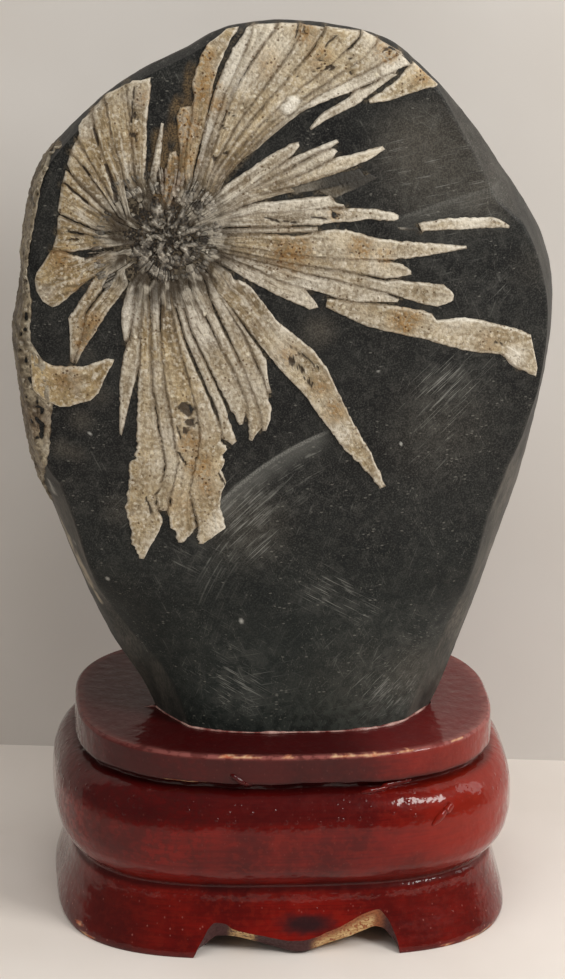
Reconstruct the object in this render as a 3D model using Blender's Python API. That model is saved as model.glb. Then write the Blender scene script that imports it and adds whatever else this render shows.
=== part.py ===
"""A chrysanthemum viewing stone standing in a carved hardwood stand.

The stone is one natural piece: a dark slab with a ground front, a rounded back, and a flower of pale
crystals that stands a little proud of the front.  The stand is carved from one block: a top plate, a
groove, a swelling belly, a waist, and a flared skirt that is cut away between the feet.

X runs to the right, -Y is the front, +Z is up.  The floor is z = 0.  Sizes are in millimetres until
the vertices are written, which is in metres.  The stand is drawn round x = 0.  The stone leans to the
left, so at the end everything moves right until the middle of the whole is over the origin.
"""

import math

import bmesh
import bpy
import numpy as np
from mathutils import Matrix

MM = 0.001
CENTRING_MOVE = 3.5
TOUCH_GAP = 0.3
COLLECTION_NAME = "scholars_rock"
SHARP_EDGE = math.radians(35.0)

# ---- the stand ----
STAND_HEIGHT = 58.7
PLATE_HALF_WIDTH = 59.9
PLATE_HALF_DEPTH = 43.3
PLAN_SQUARENESS_TOP = 2.67
PLAN_SQUARENESS_FOOT = 3.27
STAND_SEGMENTS = 64
# One row for each level of the moulding: height, step out at the ends, step out at the front.
MOULDING = [
    (0.0, 5.0, 7.9),
    (1.0, 5.3, 8.2),
    (5.0, 4.6, 6.7),
    (10.0, 3.1, 4.3),
    (14.5, 1.9, 2.6),
    (17.7, 1.3, 1.8),
    (19.2, 0.5, 1.1),
    (20.4, 1.3, 1.9),
    (23.0, 3.5, 3.9),
    (27.0, 5.5, 5.6),
    (32.0, 6.3, 6.3),
    (37.5, 6.1, 6.0),
    (42.0, 5.1, 5.0),
    (45.5, 3.2, 3.1),
    (47.3, 1.1, 1.0),
    (48.5, -1.6, -1.7),
    (49.8, -1.4, -1.5),
    (50.7, 0.2, 0.2),
    (57.9, 0.0, 0.0),
    (58.7, -0.7, -0.7),
]
HOLLOW_WALL = 11.0
HOLLOW_TOP = 15.5
HOLLOW_SHOULDER = 12.5
HOLLOW_CEILING_INSET = 7.0
BELOW_FLOOR = -4.0
# The edge cut under the front, from the left foot to the right foot: x and z.
APRON_EDGE = [
    (-26.2, 0.0), (-25.6, 7.4), (-23.6, 9.6), (-20.1, 10.3), (-16.2, 8.4), (-11.5, 6.1),
    (-5.0, 4.0), (1.9, 2.4), (7.6, 3.2), (13.2, 5.8), (17.0, 9.0), (20.6, 12.0), (23.0, 12.4),
    (25.2, 11.0), (27.0, 7.6), (28.8, 3.6), (30.0, 0.0),
]
# The chamfer starts this far inside the foot's outer edge, and rises this much for each mm outwards.
APRON_CHAMFER_START = 5.1
APRON_CHAMFER_SLOPE = 0.45
APRON_CUT_OVERSHOOT = 6.0
# The sides of the gaps stay upright: the rise grows from nothing at the floor to full at this height.
APRON_FULL_RISE_HEIGHT = 3.7

# ---- the stone ----
STONE_CENTRE = (-3.0, 160.0)
STONE_BASE = 55.3
FACE_CROWN = -30.0
FACE_FALL = 5.0
CORNER_FALL = 5.5
CORNER_REACH = 34.0
CORNER_FROM, CORNER_TO = 112.0, 62.0
BACK_POLE = 34.0
RIM_DEPTH_SIDES = -8.0
RIM_DEPTH_TOP = -20.5
RIM_RISE_FROM, RIM_RISE_TO = 195.0, 255.0
# The widest outline of the stone, seen from the front, clockwise from the top: x and z.  Its lowest
# points only guide the taper: they lie below the plane where the stone is cut flat.
RIM_OUTLINE = [
    (-8.0, 262.2), (4.0, 261.4), (14.0, 259.6), (22.0, 256.5), (28.0, 251.8), (36.0, 244.0),
    (48.5, 228.4), (60.0, 211.8), (66.0, 201.8), (70.0, 190.0), (71.0, 178.0), (70.0, 164.0),
    (67.0, 143.0), (63.5, 127.0), (56.0, 101.0), (48.0, 75.0), (42.0, 59.0), (32.0, 38.0),
    (14.0, 26.0), (-12.0, 26.0), (-29.0, 42.0), (-40.5, 66.0), (-52.0, 85.0), (-60.5, 104.6),
    (-66.7, 121.0), (-73.0, 136.0), (-76.8, 160.0), (-78.0, 173.0), (-76.0, 188.0),
    (-75.5, 199.0), (-71.5, 220.0), (-60.0, 235.8), (-47.5, 246.6), (-33.0, 254.4),
    (-22.5, 260.1),
]
# How far the ridge round the ground face lies inside the rim: angle from +X in degrees, width.
RIDGE_INSET = [
    (-180, 1.5), (-166, 3.0), (-157, 6.5), (-149, 5.5), (-131, 4.5), (-118, 8.0), (-108, 13.0),
    (-72, 13.0), (-61, 10.0), (-51, 8.5), (-34, 9.5), (-20, 8.0), (-12, 6.0), (0, 4.3), (10, 4.2),
    (25, 4.5), (38, 3.5), (45, 6.0), (51, 5.0), (59, 3.5), (66, 1.2), (90, 1.0), (117, 1.0),
    (135, 0.5), (148, 1.0), (170, 1.2),
]
BEVEL_BULGE = 0.12
# The back's section is |across|^p + |along|^q = 1.  q is larger at the bottom than at the top.
BACK_POWER_ACROSS = 2.3
BACK_POWER_ALONG, BACK_POWER_ALONG_SWING = 1.8, 0.25
STONE_SEGMENTS = 72
FACE_RINGS = 9
BEVEL_RINGS = 3
BACK_RINGS = 10
# Broad hollows and swells left by grinding: x, z, radius, depth (positive pushes into the stone).
GROUND_HOLLOWS = [
    (34.0, 222.0, 24.0, 1.3),
    (12.0, 120.0, 26.0, -0.7),
    (-22.0, 84.0, 22.0, 0.8),
    (48.0, 150.0, 22.0, 0.6),
    (-66.0, 150.0, 14.0, 1.0),
]
# Lumps and dents of the unground back: x, z, radius, height.
BACK_LUMPS = [
    (-30.0, 205.0, 34.0, 3.0),
    (30.0, 190.0, 30.0, -2.6),
    (24.0, 118.0, 32.0, 2.6),
    (-38.0, 130.0, 26.0, -2.2),
    (-2.0, 238.0, 22.0, 1.8),
    (4.0, 158.0, 20.0, -1.4),
]

# ---- the crystal flower, on the front of the stone ----
CRYSTAL_RELIEF = 0.8
PRISM_FRONT, PRISM_BACK = -36.0, -22.5
HEART = (-38.3, 204.4)
# Slits between the blades, as seen from the heart: angle and distance at the inner end, then at the
# outer end.
SLITS = [
    (173, 15, 167, 27), (156, 15, 144, 31), (137, 19, 131, 34), (127, 19, 113, 40),
    (115, 20, 104, 39), (72, 30, 72, 51), (67, 24, 64, 60), (60, 32, 53, 66), (53, 33, 48, 72),
    (-101, 17, -91, 60), (-92, 18, -82, 45), (-84, 20, -75, 56),
    (-67, 18, -65, 53), (-56, 17, -61, 54), (-6, 16, -6, 60), (-10, 15, -15, 56),
]
SLIT_WIDTHS = (0.5, 0.9)
# Outlines of the groups of blades: x and z.
CRYSTALS = {
    "heart": [
        (-53.0, 204.0), (-47.0, 217.0), (-41.0, 222.0), (-33.0, 221.0), (-25.0, 216.0),
        (-23.5, 207.0), (-26.5, 199.5), (-31.5, 193.0), (-40.0, 188.5), (-48.5, 193.0),
    ],
    "left_fan": [
        (-51.0, 200.0), (-61.0, 196.0), (-66.9, 204.0), (-66.5, 214.0), (-64.2, 224.0),
        (-59.0, 236.5), (-55.4, 241.2), (-46.8, 244.4), (-42.6, 244.8), (-43.8, 231.0),
        (-43.0, 218.0),
    ],
    "left_lobe": [
        (-66.0, 203.4), (-72.8, 193.6), (-71.8, 188.4), (-66.3, 185.6), (-55.4, 195.3),
        (-50.0, 199.0), (-57.0, 201.0),
    ],
    "low_left_blade": [
        (-50.5, 197.5), (-60.0, 190.3), (-63.6, 179.0), (-62.7, 169.7), (-53.5, 184.1),
        (-47.0, 195.0),
    ],
    "edge_blob": [
        (-74.0, 175.7), (-68.6, 168.9), (-59.5, 168.1), (-51.8, 171.2), (-56.2, 161.1),
        (-65.0, 157.2), (-68.6, 154.4), (-68.0, 147.8), (-70.0, 139.4), (-73.2, 150.0),
    ],
    "sliver": [
        (-49.0, 192.0), (-50.0, 177.0), (-49.0, 149.5), (-46.2, 163.0), (-44.8, 190.0),
    ],
    "big_bundle": [
        (-43.6, 191.0), (-44.6, 164.0), (-44.9, 141.8), (-46.8, 137.0), (-48.0, 123.6),
        (-45.9, 122.0), (-43.4, 112.4), (-39.4, 121.5), (-37.0, 127.0), (-32.8, 117.8),
        (-28.8, 124.4), (-27.4, 117.4), (-20.8, 120.8), (-20.6, 136.0), (-20.2, 145.0),
        (-27.0, 176.0), (-34.0, 195.0),
    ],
    "low_fan": [
        (-33.0, 195.0), (-25.6, 176.0), (-18.4, 147.5), (-16.4, 152.6), (-14.0, 148.4),
        (-9.6, 152.6), (-9.8, 164.3), (-20.5, 183.4), (-28.6, 196.7),
    ],
    "long_blade": [
        (-29.4, 201.4), (-19.2, 184.5), (-2.2, 164.3), (7.6, 150.9), (23.0, 133.4), (14.1, 151.4),
        (5.3, 169.1), (-8.6, 182.8), (-13.1, 189.8), (-20.5, 193.5), (-26.6, 202.6),
    ],
    "long_hooked_blade": [
        (-26.0, 205.5), (-15.4, 194.6), (1.0, 186.2), (16.3, 182.1), (40.0, 174.5), (55.8, 171.3),
        (64.0, 164.6), (61.8, 176.4), (46.9, 181.7), (34.1, 184.0), (25.4, 187.4), (39.0, 187.0),
        (38.7, 191.5), (21.0, 193.6), (28.0, 196.0), (17.0, 199.0), (43.0, 201.8), (19.6, 204.9),
        (-8.0, 206.6), (-24.0, 207.4),
    ],
    "short_right_blades": [
        (-25.0, 208.4), (-2.0, 208.0), (24.0, 210.3), (17.8, 212.1), (-8.0, 214.6), (-23.0, 211.0),
    ],
    "upper_right_blades": [
        (-24.0, 212.6), (-8.0, 217.2), (19.6, 229.4), (5.3, 226.1), (7.2, 231.0), (-6.0, 227.0),
        (-24.6, 216.6),
    ],
    "far_right_blade": [
        (30.0, 208.9), (42.0, 210.0), (54.6, 207.3), (31.0, 206.8),
    ],
    "top_fan": [
        (-27.0, 218.5), (-31.2, 244.0), (-27.0, 253.6), (-22.0, 257.0), (-8.7, 259.2),
        (3.5, 258.4), (12.5, 256.6), (20.4, 253.6), (26.2, 249.4), (33.0, 243.4), (15.3, 241.0),
        (2.0, 239.6), (-6.7, 235.8), (-16.1, 228.6), (-24.0, 218.6),
    ],
}


def tidy_scene():
    """Empty the scene, and open one collection for the parts and one for what cuts them."""
    for thing in list(bpy.data.objects):
        bpy.data.objects.remove(thing, do_unlink=True)
    parts = bpy.data.collections.new(COLLECTION_NAME)
    cutters = bpy.data.collections.new("cutters")
    for collection in (parts, cutters):
        bpy.context.scene.collection.children.link(collection)
    return parts, cutters


def principled(name, colour, roughness, coat=0.0):
    """A plain opaque material."""
    material = bpy.data.materials.new(name)
    material.use_nodes = True
    shader = material.node_tree.nodes["Principled BSDF"]
    shader.inputs["Base Color"].default_value = (*colour, 1.0)
    shader.inputs["Roughness"].default_value = roughness
    shader.inputs["Metallic"].default_value = 0.0
    shader.inputs["Coat Weight"].default_value = coat
    return material


def mesh_object(name, bm, collection):
    """Turn a bmesh, in millimetres, into an object in metres."""
    bmesh.ops.scale(bm, vec=(MM, MM, MM), verts=bm.verts)
    bmesh.ops.recalc_face_normals(bm, faces=bm.faces)
    mesh = bpy.data.meshes.new(name)
    bm.to_mesh(mesh)
    bm.free()
    thing = bpy.data.objects.new(name, mesh)
    collection.objects.link(thing)
    return thing


def hide_cutter(cutter):
    """Keep a cutter out of renders, and show it as wires."""
    cutter.hide_render = True
    cutter.display_type = "WIRE"


def boolean(target, other, operation):
    """Add an exact Boolean modifier to an object."""
    modifier = target.modifiers.new(f"{operation.lower()} {other.name}", "BOOLEAN")
    modifier.operation = operation
    modifier.solver = "EXACT"
    modifier.use_self = True
    modifier.object = other


# ---------------------------------------------------------------- the stand


def plan_ring(half_width, half_depth, squareness, height):
    """Points round an oval with flattened sides, |x/a|^n + |y/b|^n = 1, at one height."""
    angle = np.arange(STAND_SEGMENTS) * 2.0 * math.pi / STAND_SEGMENTS
    cosine, sine = np.cos(angle), np.sin(angle)
    power = 2.0 / squareness
    x = half_width * np.sign(cosine) * np.abs(cosine) ** power
    y = half_depth * np.sign(sine) * np.abs(sine) ** power
    return np.column_stack((x, y, np.full_like(x, height)))


def squareness_at(height):
    """The plan is squarer at the foot than at the plate."""
    share = height / STAND_HEIGHT
    return PLAN_SQUARENESS_FOOT + (PLAN_SQUARENESS_TOP - PLAN_SQUARENESS_FOOT) * share


def loft(rings):
    """A closed bmesh through rings of equal count, with a flat cap at each end."""
    bm = bmesh.new()
    loops = [[bm.verts.new(point) for point in ring] for ring in rings]
    count = len(loops[0])
    for lower, upper in zip(loops, loops[1:]):
        for i in range(count):
            j = (i + 1) % count
            bm.faces.new((lower[i], lower[j], upper[j], upper[i]))
    bm.faces.new(reversed(loops[0]))
    bm.faces.new(loops[-1])
    return bm


def stand_block():
    """The outside of the stand, level by level up the moulding."""
    rings = []
    for height, end_step, front_step in MOULDING:
        half_width = PLATE_HALF_WIDTH + end_step
        half_depth = PLATE_HALF_DEPTH + front_step
        rings.append(plan_ring(half_width, half_depth, squareness_at(height), height))
    return loft(rings)


def under_hollow():
    """The space carved out of the underside, narrower at its ceiling."""
    half_width = PLATE_HALF_WIDTH + MOULDING[0][1] - HOLLOW_WALL
    half_depth = PLATE_HALF_DEPTH + MOULDING[0][2] - HOLLOW_WALL
    levels = ((BELOW_FLOOR, 0.0), (HOLLOW_SHOULDER, 0.0), (HOLLOW_TOP, HOLLOW_CEILING_INSET))
    return loft([
        plan_ring(half_width - inset, half_depth - inset, PLAN_SQUARENESS_FOOT, height)
        for height, inset in levels
    ])


def apron_cut(outward):
    """The gap between two feet, with a chamfer where it meets the outside.

    outward is -1 at the front and +1 at the back.  The gap's section is the apron's edge, closed
    below the floor.  It keeps that section through the wall, then opens upwards to the outside.
    """
    edge = [(-outward * x, z) for x, z in APRON_EDGE]
    outer = PLATE_HALF_DEPTH + MOULDING[1][2]
    start = outer - APRON_CHAMFER_START
    end = outer + APRON_CUT_OVERSHOOT
    stations = ((outer - HOLLOW_WALL - 4.0, 0.0), (start, 0.0), (end, (end - start) * APRON_CHAMFER_SLOPE))
    rings = []
    for depth, rise in stations:
        ring = [
            (x, outward * depth, z + rise * min(1.0, z / APRON_FULL_RISE_HEIGHT)) for x, z in edge
        ]
        ring += [(x, outward * depth, BELOW_FLOOR) for x in (edge[-1][0], edge[0][0])]
        rings.append(ring)
    return loft(rings)


def make_stand(parts, cutters, stone):
    """Carve the stand: the block, its hollow, its two gaps and the bed that takes the stone."""
    stand = mesh_object("stand", stand_block(), parts)
    for name, bm in (
        ("hollow", under_hollow()),
        ("front_gap", apron_cut(-1)),
        ("back_gap", apron_cut(1)),
        ("stone_bed", swollen_copy(stone, TOUCH_GAP)),
    ):
        cutter = mesh_object(name, bm, cutters)
        hide_cutter(cutter)
        boolean(stand, cutter, "DIFFERENCE")
    return stand


# ---------------------------------------------------------------- the stone


def smooth_closed_curve(points, steps):
    """A Catmull-Rom curve through points, closed, with the given steps between neighbours."""
    p = np.array(points, dtype=float)
    before, after, further = np.roll(p, 1, 0), np.roll(p, -1, 0), np.roll(p, -2, 0)
    t = (np.arange(steps) / steps)[None, :, None]
    a, b, c, d = (q[:, None, :] for q in (before, p, after, further))
    curve = 0.5 * (
        2 * b + (c - a) * t + (2 * a - 5 * b + 4 * c - d) * t**2 + (3 * b - a - 3 * c + d) * t**3
    )
    return curve.reshape(-1, 2)


RIM_CURVE = smooth_closed_curve(RIM_OUTLINE, 8) - np.array(STONE_CENTRE)
RIM_ANGLE = np.arctan2(RIM_CURVE[:, 1], RIM_CURVE[:, 0])
RIM_RADIUS = np.hypot(RIM_CURVE[:, 0], RIM_CURVE[:, 1])


def rim_radius(angle):
    """Distance from the stone's centre to its rim, in a direction seen from the front."""
    order = np.argsort(RIM_ANGLE)
    return np.interp(angle, RIM_ANGLE[order], RIM_RADIUS[order], period=2.0 * math.pi)


def ridge_radius(angle):
    """Distance from the stone's centre to the ridge round the ground face."""
    at, width = np.array(RIDGE_INSET, dtype=float).T
    return rim_radius(angle) - np.interp(np.degrees(angle), at, width, period=360.0)


def smooth_step(value, low, high):
    """0 at low and beyond, 1 at high and beyond, with a smooth rise between."""
    t = np.clip((value - low) / (high - low), 0.0, 1.0)
    return t * t * (3.0 - 2.0 * t)


def bumps(x, z, table):
    """The sum of smooth round swells: height * (1 - r^2)^2 inside each radius."""
    total = 0.0
    for centre_x, centre_z, radius, height in table:
        squared = ((x - centre_x) ** 2 + (z - centre_z) ** 2) / radius**2
        total += height * np.clip(1.0 - squared, 0.0, None) ** 2
    return total


def face_depth(x, z, share):
    """Y of the ground face: it falls away gently to its ridge, and more at its two lower corners."""
    corner = CORNER_FALL * (x / CORNER_REACH) ** 4 * smooth_step(z, CORNER_FROM, CORNER_TO)
    return FACE_CROWN + FACE_FALL * share**3 + corner + bumps(x, z, GROUND_HOLLOWS)


def rim_depth(z):
    """Y of the rim, which is nearer the front at the top of the stone."""
    return RIM_DEPTH_SIDES + (RIM_DEPTH_TOP - RIM_DEPTH_SIDES) * smooth_step(z, RIM_RISE_FROM, RIM_RISE_TO)


def stone_point(angle, ring):
    """The point where one spoke, at an angle seen from the front, meets one ring.

    Rings run from the middle of the face out to the ridge, down the bevel to the rim, and round the
    back to its middle.
    """
    direction = np.array((math.cos(angle), math.sin(angle)))
    centre = np.array(STONE_CENTRE)
    ridge, rim = ridge_radius(angle), rim_radius(angle)
    rim_y = rim_depth((centre + direction * rim)[1])
    if ring <= FACE_RINGS:
        share = ring / FACE_RINGS
        x, z = centre + direction * ridge * share
        return x, face_depth(x, z, share), z
    if ring <= FACE_RINGS + BEVEL_RINGS:
        share = (ring - FACE_RINGS) / BEVEL_RINGS
        ridge_x, ridge_z = centre + direction * ridge
        ridge_y = face_depth(ridge_x, ridge_z, 1.0)
        bulge = BEVEL_BULGE * math.sin(math.pi * share)
        x, z = centre + direction * (ridge + (rim - ridge) * (share + bulge))
        return x, ridge_y + (rim_y - ridge_y) * share, z
    share = (ring - FACE_RINGS - BEVEL_RINGS) / BACK_RINGS
    across = math.cos(share * math.pi / 2.0) ** (2.0 / BACK_POWER_ACROSS)
    power_along = BACK_POWER_ALONG - BACK_POWER_ALONG_SWING * math.sin(angle)
    along = (1.0 - across**BACK_POWER_ACROSS) ** (1.0 / power_along)
    x, z = centre + direction * rim * across
    y = rim_y + (BACK_POLE - rim_y) * along
    return x, y + bumps(x, z, BACK_LUMPS) * min(1.0, 2.0 * share), z


def stone_body():
    """The stone without its crystals: a ball whose every vertex is moved to its place, cut flat below."""
    rings = FACE_RINGS + BEVEL_RINGS + BACK_RINGS
    bm = bmesh.new()
    bmesh.ops.create_uvsphere(bm, u_segments=STONE_SEGMENTS, v_segments=rings, radius=1.0)
    for vert in bm.verts:
        ring = round(math.acos(max(-1.0, min(1.0, vert.co.z))) / math.pi * rings)
        angle = math.atan2(vert.co.y, vert.co.x)
        vert.co = stone_point(angle, ring)
    cut = bmesh.ops.bisect_plane(
        bm,
        geom=bm.verts[:] + bm.edges[:] + bm.faces[:],
        plane_co=(0.0, 0.0, STONE_BASE),
        plane_no=(0.0, 0.0, -1.0),
        clear_outer=True,
    )
    rim_edges = [item for item in cut["geom_cut"] if isinstance(item, bmesh.types.BMEdge)]
    bmesh.ops.contextual_create(bm, geom=rim_edges)
    bmesh.ops.recalc_face_normals(bm, faces=bm.faces)
    return bm


def swollen_copy(stone, distance):
    """A copy of the stone's own mesh, in millimetres, pushed out along its normals."""
    bm = bmesh.new()
    bm.from_mesh(stone.data)
    bmesh.ops.scale(bm, vec=(1.0 / MM,) * 3, verts=bm.verts)
    bm.normal_update()
    moves = [vert.normal * distance * vert.calc_shell_factor() for vert in bm.verts]
    for vert, move in zip(bm.verts, moves):
        vert.co += move
    return bm


def add_prism(bm, outline):
    """Add a prism that passes through the face of the stone from front to back."""
    verts = [bm.verts.new((x, PRISM_BACK, z)) for x, z in outline]
    face = bm.faces.new(verts)
    grown = bmesh.ops.extrude_face_region(bm, geom=[face])
    moved = [item for item in grown["geom"] if isinstance(item, bmesh.types.BMVert)]
    bmesh.ops.translate(bm, vec=(0.0, PRISM_FRONT - PRISM_BACK, 0.0), verts=moved)


def slit_outline(slit):
    """A thin wedge between two points given as angle and distance from the heart."""
    inner_angle, inner_reach, outer_angle, outer_reach = slit
    heart = np.array(HEART)
    ends = []
    for angle, reach in ((inner_angle, inner_reach), (outer_angle, outer_reach)):
        turn = math.radians(angle)
        ends.append(heart + reach * np.array((math.cos(turn), math.sin(turn))))
    along = (ends[1] - ends[0]) / np.linalg.norm(ends[1] - ends[0])
    across = np.array((-along[1], along[0])) * 0.5
    inner, outer = (across * width for width in SLIT_WIDTHS)
    return [ends[0] - inner, ends[1] - outer, ends[1] + outer, ends[0] + inner]


def make_blades(cutters):
    """Every group of blades as prisms joined in one, less the slits between the blades."""
    blades = None
    for name, outline in CRYSTALS.items():
        bm = bmesh.new()
        add_prism(bm, outline)
        prism = mesh_object(f"blades_{name}", bm, cutters)
        hide_cutter(prism)
        if blades is None:
            blades = prism
        else:
            boolean(blades, prism, "UNION")
    bm = bmesh.new()
    for slit in SLITS:
        add_prism(bm, slit_outline(slit))
    slits = mesh_object("slits", bm, cutters)
    hide_cutter(slits)
    boolean(blades, slits, "DIFFERENCE")
    return blades


def make_stone(parts, cutters):
    """The stone, with each group of blades standing a little proud of its face.

    A swollen copy of the stone is cut down to the prisms of the blades, and what is left is joined
    to the stone, so the relief follows the face.
    """
    stone = mesh_object("stone", stone_body(), parts)
    relief = mesh_object("crystal_relief", swollen_copy(stone, CRYSTAL_RELIEF), cutters)
    hide_cutter(relief)
    boolean(relief, make_blades(cutters), "INTERSECT")
    boolean(stone, relief, "UNION")
    return stone


def dark_limestone():
    return principled("dark limestone", (0.028, 0.029, 0.028), roughness=0.55)


def cherry_red_lacquer():
    return principled("cherry red lacquer", (0.16, 0.018, 0.014), roughness=0.25, coat=1.0)


def move_over_origin(*collections):
    """Move every mesh, cutters too, so that the middle of the whole is over the origin."""
    move = Matrix.Translation((CENTRING_MOVE * MM, 0.0, 0.0))
    for collection in collections:
        for thing in collection.objects:
            thing.data.transform(move)


def main():
    """Build the stone, then the stand with a bed cut to fit it."""
    parts, cutters = tidy_scene()
    stone = make_stone(parts, cutters)
    stand = make_stand(parts, cutters, stone)
    stone.data.materials.append(dark_limestone())
    stand.data.materials.append(cherry_red_lacquer())
    for thing in (stone, stand):
        thing.data.shade_smooth()
        thing.data.set_sharp_from_angle(angle=SHARP_EDGE)
    move_over_origin(parts, cutters)


main()
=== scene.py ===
# %% [markdown]
# # A chrysanthemum stone on its carved stand
#
# A viewing stone is a natural find, shown on a stand that is carved to fit it. This one is dark
# limestone whose front was ground flat until a flower of pale crystals showed. The lesson dresses the
# two solids of the model: first the shapes that a solid of flat faces leaves out, then the finishes.
# Sizes are in millimetres until a mesh is written. The frame is opened first, and its box is kept, to
# compare sizes at the end.

import math

import bmesh
import bpy
import numpy as np
from mathutils import Matrix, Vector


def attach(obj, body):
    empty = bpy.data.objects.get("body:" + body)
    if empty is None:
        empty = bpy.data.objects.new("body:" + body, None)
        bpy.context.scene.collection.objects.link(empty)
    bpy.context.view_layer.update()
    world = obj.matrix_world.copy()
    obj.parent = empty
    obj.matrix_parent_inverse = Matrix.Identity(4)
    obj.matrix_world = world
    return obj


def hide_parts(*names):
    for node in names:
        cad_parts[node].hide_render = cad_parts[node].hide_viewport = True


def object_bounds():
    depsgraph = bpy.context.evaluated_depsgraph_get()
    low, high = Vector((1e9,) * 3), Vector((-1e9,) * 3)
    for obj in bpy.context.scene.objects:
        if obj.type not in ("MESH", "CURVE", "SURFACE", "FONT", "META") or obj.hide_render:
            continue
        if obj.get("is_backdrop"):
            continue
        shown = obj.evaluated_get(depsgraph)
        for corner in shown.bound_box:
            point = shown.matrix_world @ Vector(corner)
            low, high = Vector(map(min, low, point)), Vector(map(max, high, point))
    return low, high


MM = 0.001
CENTRING_MOVE = 3.5

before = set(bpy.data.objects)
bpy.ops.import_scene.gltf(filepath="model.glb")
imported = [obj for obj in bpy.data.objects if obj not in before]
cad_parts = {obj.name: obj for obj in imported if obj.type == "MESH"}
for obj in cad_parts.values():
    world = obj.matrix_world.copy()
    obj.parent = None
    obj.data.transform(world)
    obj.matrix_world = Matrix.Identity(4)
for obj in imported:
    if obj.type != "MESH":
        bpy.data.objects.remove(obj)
cad_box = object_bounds()
print("nodes:", sorted(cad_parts))

# %% [markdown]
# ## Numbers that look random and never change
#
# Nothing natural is smooth, so almost every surface here is disturbed a little by noise. A random number
# generator would do, but a hash of whole-number cells gives the same stone on every run and needs no
# memory of what was drawn before. The smooth step is the usual soft switch between two values.

# %% Noise


def hashed(cells, seed):
    """One steady number from 0 to 1 for each whole-number cell, by mixing its coordinates."""
    mixed = np.full(cells.shape[:-1], seed * 2654435761 + 974711, dtype=np.uint64)
    for axis in range(cells.shape[-1]):
        mixed = (mixed ^ cells[..., axis].astype(np.uint64)) * np.uint64(0x9E3779B97F4A7C15)
        mixed ^= mixed >> np.uint64(31)
    return (mixed >> np.uint64(11)).astype(float) / 2.0**53


def noise(places, size, seed, octaves=1):
    """Smooth lumps about one size wide, from -1 to 1: the hashes of a cell's corners, blended.

    Each further octave adds lumps of half the size and half the height.
    """
    p = np.asarray(places, dtype=float) / size
    total, weight, reach = 0.0, 1.0, 0.0
    for octave in range(octaves):
        cell = np.floor(p).astype(np.int64)
        t = p - cell
        t = t * t * (3.0 - 2.0 * t)
        for corner in range(2 ** p.shape[-1]):
            step = np.array([(corner >> axis) & 1 for axis in range(p.shape[-1])])
            share = np.prod(np.where(step, t, 1.0 - t), axis=-1)
            total = total + weight * share * (2.0 * hashed(cell + step, seed + octave) - 1.0)
        reach += weight
        weight *= 0.5
        p = p * 2.0 + 17.3
    return total / reach


def smooth_step(value, low, high):
    """0 at low and beyond, 1 at high and beyond, with a smooth rise between."""
    t = np.clip((value - low) / (high - low), 0.0, 1.0)
    return t * t * (3.0 - 2.0 * t)


print("noise at three places:", noise([[0.5, 0.5], [3.2, 1.1], [9.9, 4.0]], 1.0, 1).round(2))

# %% [markdown]
# ## Round places and short lines
#
# Stains, pits, scratches and worn places are all marked in the same two ways, as rows of a table: a round
# place has a middle, a radius and a strength, and a short line has two ends and a half-width. The strength
# fades smoothly to nothing at the border, as a stain does.

# %% Swells and lines


def bumps(x, z, table):
    """The sum of smooth round swells: height * (1 - r^2)^2 inside each radius."""
    total = np.zeros(np.broadcast(x, z).shape)
    for centre_x, centre_z, radius, height in table:
        squared = ((x - centre_x) ** 2 + (z - centre_z) ** 2) / radius**2
        total = total + height * np.clip(1.0 - squared, 0.0, None) ** 2
    return total


def near_lines(x, z, table):
    """1 on any of the short lines in a table, falling to 0 at each line's half-width."""
    found = np.zeros(np.broadcast(x, z).shape)
    for x0, z0, x1, z1, half in table:
        along = np.array((x1 - x0, z1 - z0))
        t = np.clip(((x - x0) * along[0] + (z - z0) * along[1]) / (along @ along), 0.0, 1.0)
        away = np.hypot(x - x0 - t * along[0], z - z0 - t * along[1])
        found = np.maximum(found, 1.0 - smooth_step(away, 0.4 * half, half))
    return found


print("halfway out in a round place:", bumps(1.0, 0.0, [(0.0, 0.0, 2.0, 1.0)]).round(2))

# %% [markdown]
# ## Faces for a grid of points
#
# Every new surface below is a grid: rows and columns of points, worked out all at once. These are the
# faces that join such a grid, open or as a closed tube, and the volume that they enclose. A negative
# volume means that the faces look inwards. Values are put side by side so often that a helper does it.

# %% Faces of a grid


def beside(*values):
    """Values side by side, as the last axis of one array."""
    return np.stack(np.broadcast_arrays(*values), axis=-1)


def grid_faces(rows, columns, closed=False):
    """Four-cornered faces between neighbours; closed joins the last column to the first."""
    r = np.arange(rows - 1)[:, None] * columns
    c = np.arange(columns if closed else columns - 1)[None, :]
    d = (c + 1) % columns
    return beside(r + c, r + d, r + columns + d, r + columns + c).reshape(-1, 4)


def tube_faces(rows, columns):
    """The faces of a closed tube: its side, and one cap at each end."""
    ring = np.arange(columns)[None, :]
    return [grid_faces(rows, columns, closed=True), ring[:, ::-1], ring + (rows - 1) * columns]


def enclosed(points, faces):
    """The volume inside closed faces: each is cut into a fan of triangles, worth a . (b x c) / 6."""
    total = 0.0
    for group in faces:
        for i in range(1, group.shape[1] - 1):
            a, b, c = (points[group[:, k]] for k in (0, i, i + 1))
            total += np.sum(a * np.cross(b, c)) / 6.0
    return total


print("faces of a tube, three rings of four:", sum(len(group) for group in tube_faces(3, 4)))

# %% [markdown]
# ## Marks that a finish can read
#
# A material doesn't know what a stain or a pit is. So each point carries named numbers, such as how
# stained it is, and the material reads them by name. Attributes do this well, because they stay on the
# mesh. Points are in the drawing's millimetres until they are written, and are read back the same way.

# %% Marks on points


def write_marks(mesh, marks):
    """Write named values, one for each point, as attributes that a material can read."""
    for name, values in marks.items():
        kind, key = ("FLOAT_VECTOR", "vector") if values.ndim == 2 else ("FLOAT", "value")
        layer = mesh.attributes.get(name) or mesh.attributes.new(name, kind, "POINT")
        layer.data.foreach_set(key, values.astype(np.float32).ravel())


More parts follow.
